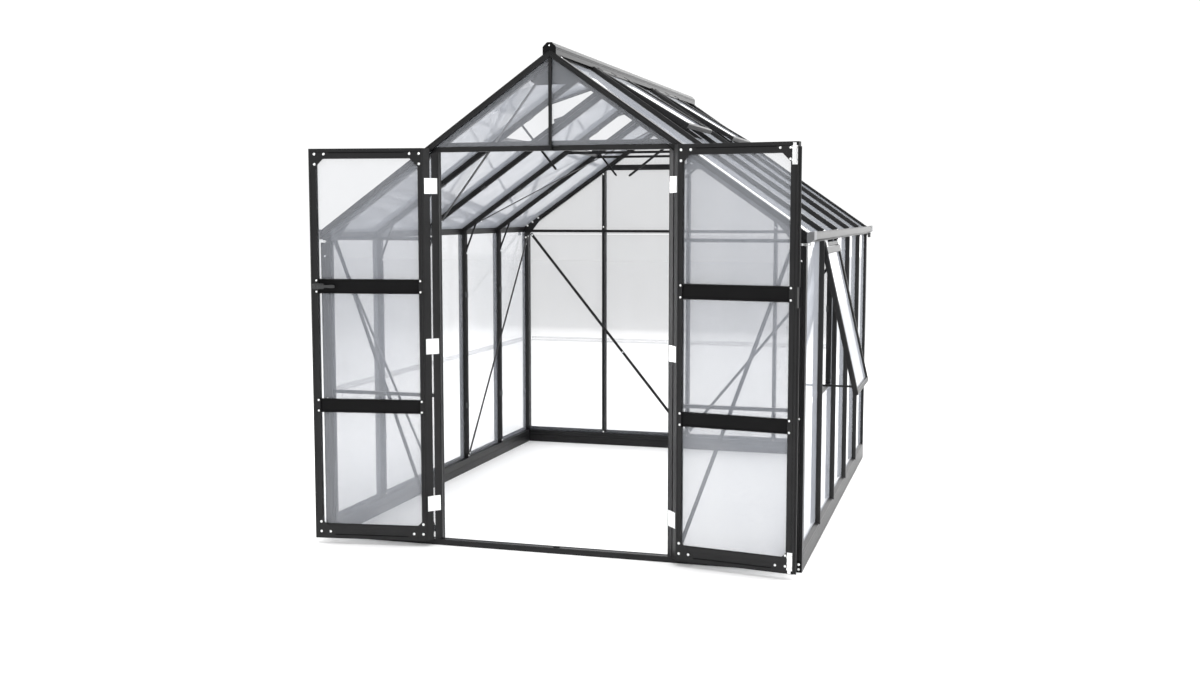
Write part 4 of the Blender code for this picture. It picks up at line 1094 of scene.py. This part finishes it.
# %% Door frames, cross rails and panes
CHANNEL = in_mm([(18.4, 0), (32.4, 0), (32.4, 3.2), (24.5, 4.4), (22.5, 7), (22.5, 63), (24.5, 65.6),
                 (32.4, 66.8), (32.4, 70), (18.4, 70)])
for label, side in SIDES.items():
    body, turn = label + "_door", door_turns[label]
    node = [label + "_door_frame"]
    shape = bar([(side * (FREE + a), OUT_Y + b) for a, b in FREE_STILE], run_z, DOOR_Z[0], DOOR_Z[1])
    metal(label + "_door_free_stile", shape, node, body=body, turn=turn)
    shape = bar([(side * a, b) for a, b in hinge_stile()], run_z, DOOR_Z[0], DOOR_Z[1])
    metal(label + "_door_hinge_stile", shape, node, body=body, turn=turn)
    shape = bar(end_rail(DOOR_Z[0], OPEN_Z[0], True), run_x, side * OPEN_X[0], side * OPEN_X[1])
    metal(label + "_door_bottom_rail", shape, node, body=body, turn=turn)
    shape = bar(end_rail(OPEN_Z[1], DOOR_Z[1], False), run_x, side * OPEN_X[0], side * OPEN_X[1])
    metal(label + "_door_top_rail", shape, node, body=body, turn=turn)
    # Dark fillers in the top and bottom rails' slots, in the painted-shade copy of the powder coat: painted
    # shade in the slots.
    shape = bmesh.new()
    for edge, up in ((DOOR_Z[0], 1), (DOOR_Z[1], -1)):
        slot_shade_outline = [(a,
                   edge + up * b) for a, b in in_mm([(20.2, 17.7), (32.3, 17.7), (32.3, 23.8),
                                                     (20.2, 23.8)])]
        extrude(shape, [(OUT_Y + a, z) for a, z in slot_shade_outline], run_x, side * OPEN_X[0], side * OPEN_X[1])
    piece(label + "_door_rail_slot_shade", shape, body, powder_painted_shade, edge=0, turn=turn)
    for number, (low, high) in enumerate(RAILS):
        shape = bmesh.new()
        stretch = (high - low) / (70 * MM)
        section = [(OUT_Y + a, low + b * stretch) for a, b in CHANNEL]
        extrude(shape, section, run_x, side * (OPEN_X[0] + 0.2 * MM), side * (OPEN_X[1] - 0.2 * MM))
        cover = [(OUT_Y + 8 * MM, low + 4 * MM), (OUT_Y + 13.6 * MM, low), (OUT_Y + 13.6 * MM, high),
                 (OUT_Y + 8 * MM, high - 4 * MM)]
        extrude(shape, cover, run_x, side * (OPEN_X[0] + 0.2 * MM), side * (OPEN_X[1] - 0.2 * MM))
        # The cross rails take the painted-shade copy of the powder coat, so they read darker than the
        # stiles.
        piece(label + "_door_cross_rail_" + str(number), shape, body, powder_painted_shade, node,
              turn=turn)
        points = [(side * x, IN_Y, z) for x in (OPEN_X[0] - 9 * MM,
                                                OPEN_X[1] + 8 * MM) for z in (low + 8 * MM, high - 6 * MM)]
        bolts(label + "_door_rail_screws_" + str(number), body, points, (0, 1, 0), 11, turn=turn)
    edges = [OPEN_Z[0] - 7 * MM, (RAILS[0][0] + RAILS[0][1]) / 2, (RAILS[1][0] + RAILS[1][1]) / 2,
             OPEN_Z[1] + 7 * MM]
    for number, (low, high) in enumerate(zip(edges, edges[1:])):
        shape = bmesh.new()
        x = (side * (OPEN_X[0] - 7 * MM), side * (OPEN_X[1] + 7 * MM))
        extrude(shape, rectangle(x[0], x[1], low + 1 * MM, high - 1 * MM),
                lambda a, b, t: Vector((a, t, b)), OUT_Y + 14 * MM, OUT_Y + 18 * MM)
        piece(label + "_door_pane_" + str(number), shape, body, glass,
              [label + "_door_glass"], edge=0.3, turn=turn)
    shape = bmesh.new()
    bead = [(0.0, OUT_Y + 18.2 * MM), (2.2 * MM, OUT_Y + 18.4 * MM), (1.2 * MM, OUT_Y + 21 * MM),
            (0.0, OUT_Y + 21.4 * MM)]
    stops = [OPEN_Z[0] + WEATHERED, RAILS[0][0], RAILS[0][1], RAILS[1][0], RAILS[1][1], OPEN_Z[1]]
    for low, high in zip(stops[::2], stops[1::2]):
        mitred(shape, bead, lambda a, b, t: Vector((side * a, t, b)), OPEN_X, (low, high))
    piece(label + "_door_seals", shape, body, rubber, edge=0, turn=turn)
    for number, centre in enumerate(HINGES):
        hinge_leaf(label + "_door_leaf_" + str(number), side, 1, centre, body, (1, 3), turn=turn)
print("door opening", [round(v, 4) for v in OPEN_X], [round(v, 4) for v in OPEN_Z])

# %% [markdown]
# The corner plates are stamped, so they have one thickness and a 45 degree cut, which crosses the
# opening's corner and ends at the rail's groove. Near the doorway's middle the left door's plates
# stop short, because the other door's closing strip lies there when both are shut.

# %% Door corner plates and bolts
FREE_EDGE = {"left": 14 * MM, "right": 37.2 * MM}
FREE_BOLT = {"left": 35 * MM, "right": 43.3 * MM}
LEG = 42 * MM
RISE = 27 * MM
for label, side in SIDES.items():
    body, turn = label + "_door", door_turns[label]
    big, small, plates = [], [], bmesh.new()
    for z_edge, up, z_end in ((OPEN_Z[0], 1, DOOR_Z[0] + 4 * MM), (OPEN_Z[1], -1, 2.0525)):
        for x_edge, way, x_end, x_bolt in ((OPEN_X[0], 1, FREE_EDGE[label], FREE_BOLT[label]),
                                           (OPEN_X[1], -1, BACK_X - 1 * MM, OPEN_X[1] + 8.5 * MM)):
            outline = [(x_end, z_end), (x_edge + way * (LEG + RISE), z_end),
                       (x_edge + way * (LEG + RISE), z_edge - up * RISE),
                       (x_end, z_edge + up * (LEG + abs(x_end - x_edge)))]
            extrude(plates, [(side * a, b) for a, b in outline], run_y, IN_Y - 0.3 * MM, IN_Y + 0.7 * MM)
            z_bolt = z_edge - up * 22 * MM
            face = IN_Y + 0.7 * MM
            corner = [(x_bolt, z_bolt), (x_bolt, z_bolt + up * 52 * MM), (x_bolt + way * 50 * MM, z_bolt)]
            (small if label == "right" and way == 1 else big).extend((side * a, face, b) for a, b in corner)
    piece(label + "_door_corner_plates", plates, body, powder_black, edge=0.3, turn=turn)
    bolts(label + "_door_corner_bolts", body, big, (0, 1, 0), 13.5, turn=turn)
    if small:
        bolts(label + "_door_free_corner_bolts", body, small, (0, 1, 0), 12, turn=turn)

# %% [markdown]
# ## Door furniture
# The right door has a closing strip that the left one shuts against, and a slide bolt at its top
# and bottom: a plated backing with two keepers, through which a flat bar with a thumb tab slides.
# The left door has a turning handle of nylon with a long lever.

# %% Closing strip and slide bolts
turn = door_turns["right"]
shape = bmesh.new()
STRIP = in_mm([(-12, 0.7), (-12, 5.2), (-10.6, 6), (-5, 6), (-5, 2.6), (-1.5, 2.6), (-1.5, 6), (5.8, 6),
               (7, 4.8), (7, -0.2), (3.3, -0.2), (3.3, 0.7)])
section = [(a, IN_Y + b) for a, b in STRIP]
strip_top = 2.048
for low, high in ((DOOR_Z[0] + 3 * MM, 1.301), (1.398, strip_top)):
    extrude(shape, section, run_z, low, high)
narrow = [(0.2 * MM, IN_Y + 0.7 * MM), (0.2 * MM, IN_Y + 6 * MM)] + section[7:]
extrude(shape, narrow, run_z, 1.3012, 1.3978)
metal("closing_strip", shape, ["right_door_frame"], edge=0.3, body="right_door", turn=turn)

for end, z_end, way in (("top", 2.066, -1), ("bottom", 0.034, 1)):
    body = "right_door_" + end + "_bolt"
    shape = bmesh.new()
    slide = in_mm([(14, 2.2), (30, 2.2), (30, 6.6), (28.6, 7.6), (15.4, 7.6), (14, 6.6)])
    extrude(shape, [(a, IN_Y + b) for a, b in slide], run_z, z_end, z_end + way * 0.094)
    tab = in_mm([(10, 3.4), (34, 3.4), (34, 5.6), (26, 8.2), (25, 10.2), (19, 10.2), (18, 8.2), (10, 5.6)])
    extrude(shape, [(a, IN_Y + b) for a, b in tab], run_z, z_end + way * 0.044, z_end + way * 0.053)
    piece(end + "_slide_bolt", shape, body, zinc, [body], edge=0.4, turn=turn)
    shape = bmesh.new()
    backing = in_mm([(8, 0.1), (34, 0.1), (34, 1.6), (8, 1.6)])
    start, stop = z_end + way * 0.012, z_end + way * 0.100
    extrude(shape, [(a, IN_Y + b) for a, b in backing], run_z, start, stop)
    keeper = in_mm([(9, 1.6), (12.8, 1.6), (12.8, 8.2), (31.2, 8.2), (31.2, 1.6), (34, 1.6), (34, 8.6),
                    (32.6, 9.6), (10.6, 9.6), (9, 8.6)])
    for offset in (0.018, 0.074):
        extrude(shape, [(a, IN_Y + b) for a, b in keeper], run_z, z_end + way * offset,
                z_end + way * (offset + 0.010))
    piece(end + "_bolt_backing", shape, "right_door", zinc, edge=0.3, turn=turn)

# %% Turning handle
turn = door_turns["left"]
face = IN_Y + GAP
shape = bmesh.new()
HEAD = [(-0.078, -7), (-0.0765, -12), (-0.072, -14.6), (-0.021, -15.5), (-0.0165, -13.5), (-0.015, -9)]
outline = [(x, z * MM) for x, z in HEAD] + [(x, -z * MM) for x, z in reversed(HEAD)]
lathe(shape, (-0.031, face, HANDLE_Z), (0, 1, 0), [(9.5 * MM, 0.0), (9.5 * MM, 4.6 * MM)])
extrude(shape, [(x, HANDLE_Z + z) for x, z in outline], run_y, face + 4.3 * MM, face + 9 * MM)
inset = [(x * 0.94 - 0.0028, HANDLE_Z + z * 0.86) for x, z in outline]
extrude(shape, inset, run_y, face + 9 * MM, face + 14 * MM)
piece("handle_head", shape, "left_door_handle", nylon, ["left_door_handle"], edge=1.6,
      turn=turn)
shape = bmesh.new()
LEVER = [(-0.137, 4.2), (-0.132, 7.4), (-0.120, 8.5), (-0.080, 6.4), (-0.062, 6.6), (-0.052, 8.2),
         (-0.045, 6.5)]
outline = [(x, z * MM) for x, z in LEVER] + [(x, -z * MM) for x, z in reversed(LEVER)]
extrude(shape, [(x, HANDLE_Z + z) for x, z in outline], run_y, face + 12.8 * MM, face + 22 * MM)
piece("handle_lever", shape, "left_door_handle", nylon, ["left_door_handle"], edge=2.4,
      turn=turn)
bolts("handle_screw", "left_door_handle", [(-0.031, face + 14 * MM, HANDLE_Z)], (0, 1, 0), 10,
      nylon, turn)

# %% [markdown]
# ## Roof vents
# A vent is a mitred frame round one pane, hung from the ridge capping. Its section has an upper
# lip over the glass and a lower edge that drops between the roof caps. The stay is a thin strip
# with a row of holes, turned over at its free end to make a hook, and it sits on a peg below.

# %% Vent frames, panes, hinges and stays
VENT_SECTION = in_mm([(0, -16.5), (0, 6), (2, 8.4), (6, 10), (12, 10), (13, 8.6), (15.5, 8.6), (16.5, 10),
                      (22, 10), (25, 7.6), (26, 4), (26, 0.3), (17, 0.3), (17, -4.4), (26, -4.4), (26, -8),
                      (22, -10), (4, -10), (3, -16.5)])
VENT_SEAL = in_mm([(25.8, -4.6), (29, -4.5), (28, -7), (25.8, -7.4)])
VENT_S = (0.056, 0.656)
STAY = 0.440
STAY_ANGLE = math.radians(68.0)


def sash(name, body, section, glass_faces, seal, put, a, b, turn):
    """A mitred frame, its pane and the seal under the pane's edge, as three pieces."""
    shape = bmesh.new()
    mitred(shape, section, put, a, b)
    metal(name + "_sash", shape, [body + "_frame"], body, edge=0.5, turn=turn)
    inset = 18 * MM
    shape = bar(rectangle(a[0] + inset, a[1] - inset, b[0] + inset, b[1] - inset), put, *glass_faces)
    piece(name + "_pane", shape, body, glass, [body + "_glass"], edge=0.3, turn=turn)
    shape = bmesh.new()
    mitred(shape, seal, put, a, b)
    piece(name + "_seal", shape, body, rubber, edge=0, turn=turn)


def barrel(shape, start, length):
    """The round barrel of a vent's or window's hinge, which runs along y."""
    lathe(shape, start, (0, 1, 0),
          [(2.6 * MM, 0.0), (3.1 * MM, 0.6 * MM), (3.1 * MM, length - 0.6 * MM), (2.6 * MM, length)], 14)


def stay_strip(shape, start, direction, normal, length, width, thickness):
    """A perforated strip with a hooked end. Holes are raised eyelets, pressed through the strip."""
    direction, normal = Vector(direction).normalized(), Vector(normal).normalized()
    place = straight(start, Vector(start) + direction, normal)
    w, t = width / 2, thickness / 2
    ends = [(-0.007, 0.5), (-0.004, 0.9), (0.0, 1.0), (length - 0.010, 1.0), (length - 0.004, 0.75),
            (length, 0.35)]
    outline = [(share * w, along) for along, share in ends] + [(-share * w,
                                                                along) for along, share in reversed(ends)]
    extrude(shape, outline, lambda a, along, b: place(a, b, along), -t, t)
    for k in range(6):
        along = length * (0.34 + 0.10 * k)
        centre = place(0.0, t, along)
        lathe(shape, centre, normal,
              [(3.4 * MM, -0.1 * MM), (3.4 * MM, 0.7 * MM), (2.2 * MM, 0.7 * MM), (2.0 * MM, 0.1 * MM)], 12)


for label, side in SIDES.items():
    for number, bay in enumerate(VENT_BAYS, 1):
        body = label + "_vent_" + str(number)
        joint = JOINTS[body + "_tilt"]
        turn = from_shut(body + "_tilt", joint["range_deg"][0])
        y = (frame_y(bay) + 0.013, frame_y(bay + 1) - 0.013)
        put = lambda a, s, p: on_slope(side, s, p, a)
        sash(body, body, VENT_SECTION, (-4 * MM, 0.0), VENT_SEAL, put, y, VENT_S, turn)
        shape = bmesh.new()
        for spot in (y[0] + 0.035, (y[0] + y[1]) / 2, y[1] - 0.035):
            start = on_slope(side, VENT_S[0], 10 * MM, spot - 0.018)
            barrel(shape, start, 36 * MM)
            leaf = [(VENT_S[0] + 1 * MM, 10 * MM), (VENT_S[0] + 24 * MM, 10 * MM),
                    (VENT_S[0] + 24 * MM, 11.6 * MM), (VENT_S[0] + 1 * MM, 11.6 * MM)]
            extrude(shape, leaf, lambda s, p, t: on_slope(side, s, p, t), spot - 0.017, spot + 0.017)
        # The vent hinges take the painted-shade copy of the powder coat.
        piece(body + "_hinges", shape, body, powder_painted_shade, edge=0.3, turn=turn)
        middle = (y[0] + y[1]) / 2
        root = on_slope(side, 0.600, -26.5 * MM, middle)
        tip = on_slope(side, 0.600 - STAY * math.cos(STAY_ANGLE), -26.5 * MM - STAY * math.sin(STAY_ANGLE),
                       middle)
        direction = tip - root
        shape = bmesh.new()
        across_stay = Vector((0, 1, 0))
        broad = direction.normalized().cross(across_stay)
        stay_strip(shape, root, direction,
                   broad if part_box(body + "_stay")[1].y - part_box(body + "_stay")[0].y > 0.008
                   else across_stay, STAY, 13 * MM, 3.6 * MM)
        piece(body + "_stay_strip", shape, body + "_stay", powder_black, [body + "_stay"],
              edge=0.3, turn=turn)
        shape = bmesh.new()
        for y_off in (-0.013, 0.0085):
            lug = [(0.588, -4.6 * MM), (0.612, -4.6 * MM), (0.608, -26 * MM), (0.604, -31 * MM),
                   (0.596, -31 * MM), (0.592, -26 * MM)]
            extrude(shape, lug, lambda s, p, t: on_slope(side, s, p, t), middle + y_off,
                    middle + y_off + 4.5 * MM)
        piece(body + "_stay_lugs", shape, body, nylon, edge=0.5, turn=turn)
        print(body, "opens from", joint["range_deg"][0], "with its stay", [round(v, 3) for v in root])

# %% [markdown]
# ## Side window
# The window in the right wall is the same frame stood upright. It hangs from its top rail and
# swings out at the foot, held by a strip that rests on a peg on the sill rail.

# %% Window sash, pane, hinges and stay
joint = JOINTS["side_window_tilt"]
turn = from_shut("side_window_tilt", joint["range_deg"][0])
WINDOW_Y = (frame_y(1) + 0.013, frame_y(2) - 0.013)
WINDOW_Z = (0.772, 1.592)
on_side = lambda y, z, x: Vector((x, y, z))
SASH = [(0, 1.269), (0, 1.292), (2 * MM, 1.2945), (5 * MM, 1.296), (12 * MM, 1.296), (13 * MM, 1.2948),
        (15.5 * MM, 1.2948), (16.5 * MM, 1.296), (23 * MM, 1.296), (26 * MM, 1.293), (26 * MM, 1.2843),
        (17 * MM, 1.2843), (17 * MM, 1.2796), (26 * MM, 1.2796), (26 * MM, 1.273), (23 * MM, 1.269)]
WINDOW_SEAL = [(25.8 * MM, 1.2794), (29 * MM, 1.2793), (28 * MM, 1.2768), (25.8 * MM, 1.2764)]
sash("window", "side_window", SASH, (1.280, 1.284), WINDOW_SEAL, on_side, WINDOW_Y, WINDOW_Z, turn)
shape = bmesh.new()
for spot in (WINDOW_Y[0] + 0.045, WINDOW_Y[1] - 0.045):
    barrel(shape, (1.2962, spot - 0.016, 1.5925), 32 * MM)
    extrude(shape, rectangle(spot - 0.015, spot + 0.015, 1.566, 1.591), on_side, 1.2960, 1.2975)
piece("window_hinges", shape, "side_window", zinc, edge=0.3, turn=turn)
shape = bmesh.new()
COVER = [(1.2963, 1.5640), (1.2963, 1.5300), (1.3000, 1.5270), (1.3012, 1.5285), (1.2980, 1.5315),
         (1.2980, 1.5640)]
extrude(shape, COVER, run_y, WINDOW_Y[0] + 0.002, WINDOW_Y[1] - 0.002)
metal("window_drip_cover", shape, edge=0, body="side_window", turn=turn)
low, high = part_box("side_window_stay")
pivot = Vector((high.x - 0.006, (low.y + high.y) / 2, (low.z + high.z) / 2))
shape = bmesh.new()
upright = high.z - low.z > high.y - low.y
stay_strip(shape, pivot, (-1, 0, 0), (0, 1, 0) if upright else (0, 0, 1), 0.310, 11 * MM, 3.6 * MM)
piece("window_stay_strip", shape, "side_window_stay", powder_black, ["side_window_stay"],
      edge=0.3)
print("window stay pivots at", [round(v, 4) for v in pivot])

# %% [markdown]
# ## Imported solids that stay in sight
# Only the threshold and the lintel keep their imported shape. They get the powder coat through
# their material slot, and a bevel modifier, which leaves the mesh itself unchanged.

# %% Finish on the solids that stay
for name in ("front_sill", "door_lintel"):
    solid = frame["nodes"][name]
    solid.data.materials.clear()
    solid.data.materials.append(powder_black)
    bevel = solid.modifiers.new("eased_edges", "BEVEL")
    bevel.width = 0.8 * MM
    bevel.segments = 2
    bevel.limit_method = "ANGLE"
shown = [name for name, node in frame["nodes"].items() if not node.hide_render]
print("packed solids in sight:", shown)

# %% [markdown]
# ## Studio
# The room is a white sweep: a bright, even world for the background and reflections, a wide soft
# lamp over the roof, one to each side, and a tall white panel behind the building. Faces that run
# away from the camera mirror the panel at a grazing angle, which is what turns the gutter and the
# ridge pale grey. The floor is a pale matt sheet that takes only a faint shadow.

# %% Floor
def studio_floor():
    made, tree, shader, place = start_finish("matt_studio_floor")
    mottle = add(tree, "ShaderNodeTexNoise", {"Vector": place, "Scale": scale_for(900), "Detail": 3.0})
    tree.links.new(ramp(tree, mottle.outputs["Fac"], "#fbfbfb", "#fefefe"), shader.inputs["Base Color"])
    shader.inputs["Roughness"].default_value = 0.55
    shader.inputs["Specular IOR Level"].default_value = 0.3
    return made


shape = bmesh.new()
size = 40.0
corners = [shape.verts.new((x, y, 0.0)) for x, y in ((-size, -size), (size, -size), (size, size),
                                                     (-size, size))]
shape.faces.new(corners)
mesh = bpy.data.meshes.new("floor")
shape.to_mesh(mesh)
shape.free()
mesh.materials.append(studio_floor())
floor = bpy.data.objects.new("floor", mesh)
bpy.context.collection.objects.link(floor)

# %% World and lamps
world = bpy.data.worlds.new("white_room")
bpy.context.scene.world = world
world.use_nodes = True
world.node_tree.nodes["Background"].inputs["Color"].default_value = linear("#ffffff")
world.node_tree.nodes["Background"].inputs["Strength"].default_value = 1.06


def soft_lamp(name, place, target, width, height, watts):
    lamp = bpy.data.lights.new(name, "AREA")
    lamp.shape = "RECTANGLE"
    lamp.size = width
    lamp.size_y = height
    lamp.energy = watts
    made = bpy.data.objects.new(name, lamp)
    bpy.context.collection.objects.link(made)
    made.location = place
    made.rotation_euler = (Vector(target) - Vector(place)).to_track_quat("-Z", "Y").to_euler()
    made.visible_camera = False
    return made


middle = Vector((0.0, (FRONT + BACK) / 2, RIDGE / 2))
soft_lamp("overhead_lamp", (0.3, 1.6, 7.5), middle, 8.0, 8.0, 620)
soft_lamp("right_lamp", (6.5, 1.0, 4.0), middle, 4.0, 4.0, 260)
soft_lamp("left_lamp", (-7.0, 0.6, 1.5), middle, 4.0, 3.0, 260)
soft_lamp("back_panel", (0.5, 11.5, 4.2), middle, 11.0, 6.4, 340)

# %% Camera
camera_data = bpy.data.cameras.new("camera")
camera_data.lens = 39.3
camera_data.sensor_width = 36.0
camera = bpy.data.objects.new("camera", camera_data)
bpy.context.collection.objects.link(camera)
camera.location = (2.12, -6.28, 1.74)
camera.rotation_euler = (math.radians(84.59), 0.0, math.radians(16.55))
bpy.context.scene.camera = camera
bpy.context.scene.view_settings.view_transform = "Standard"
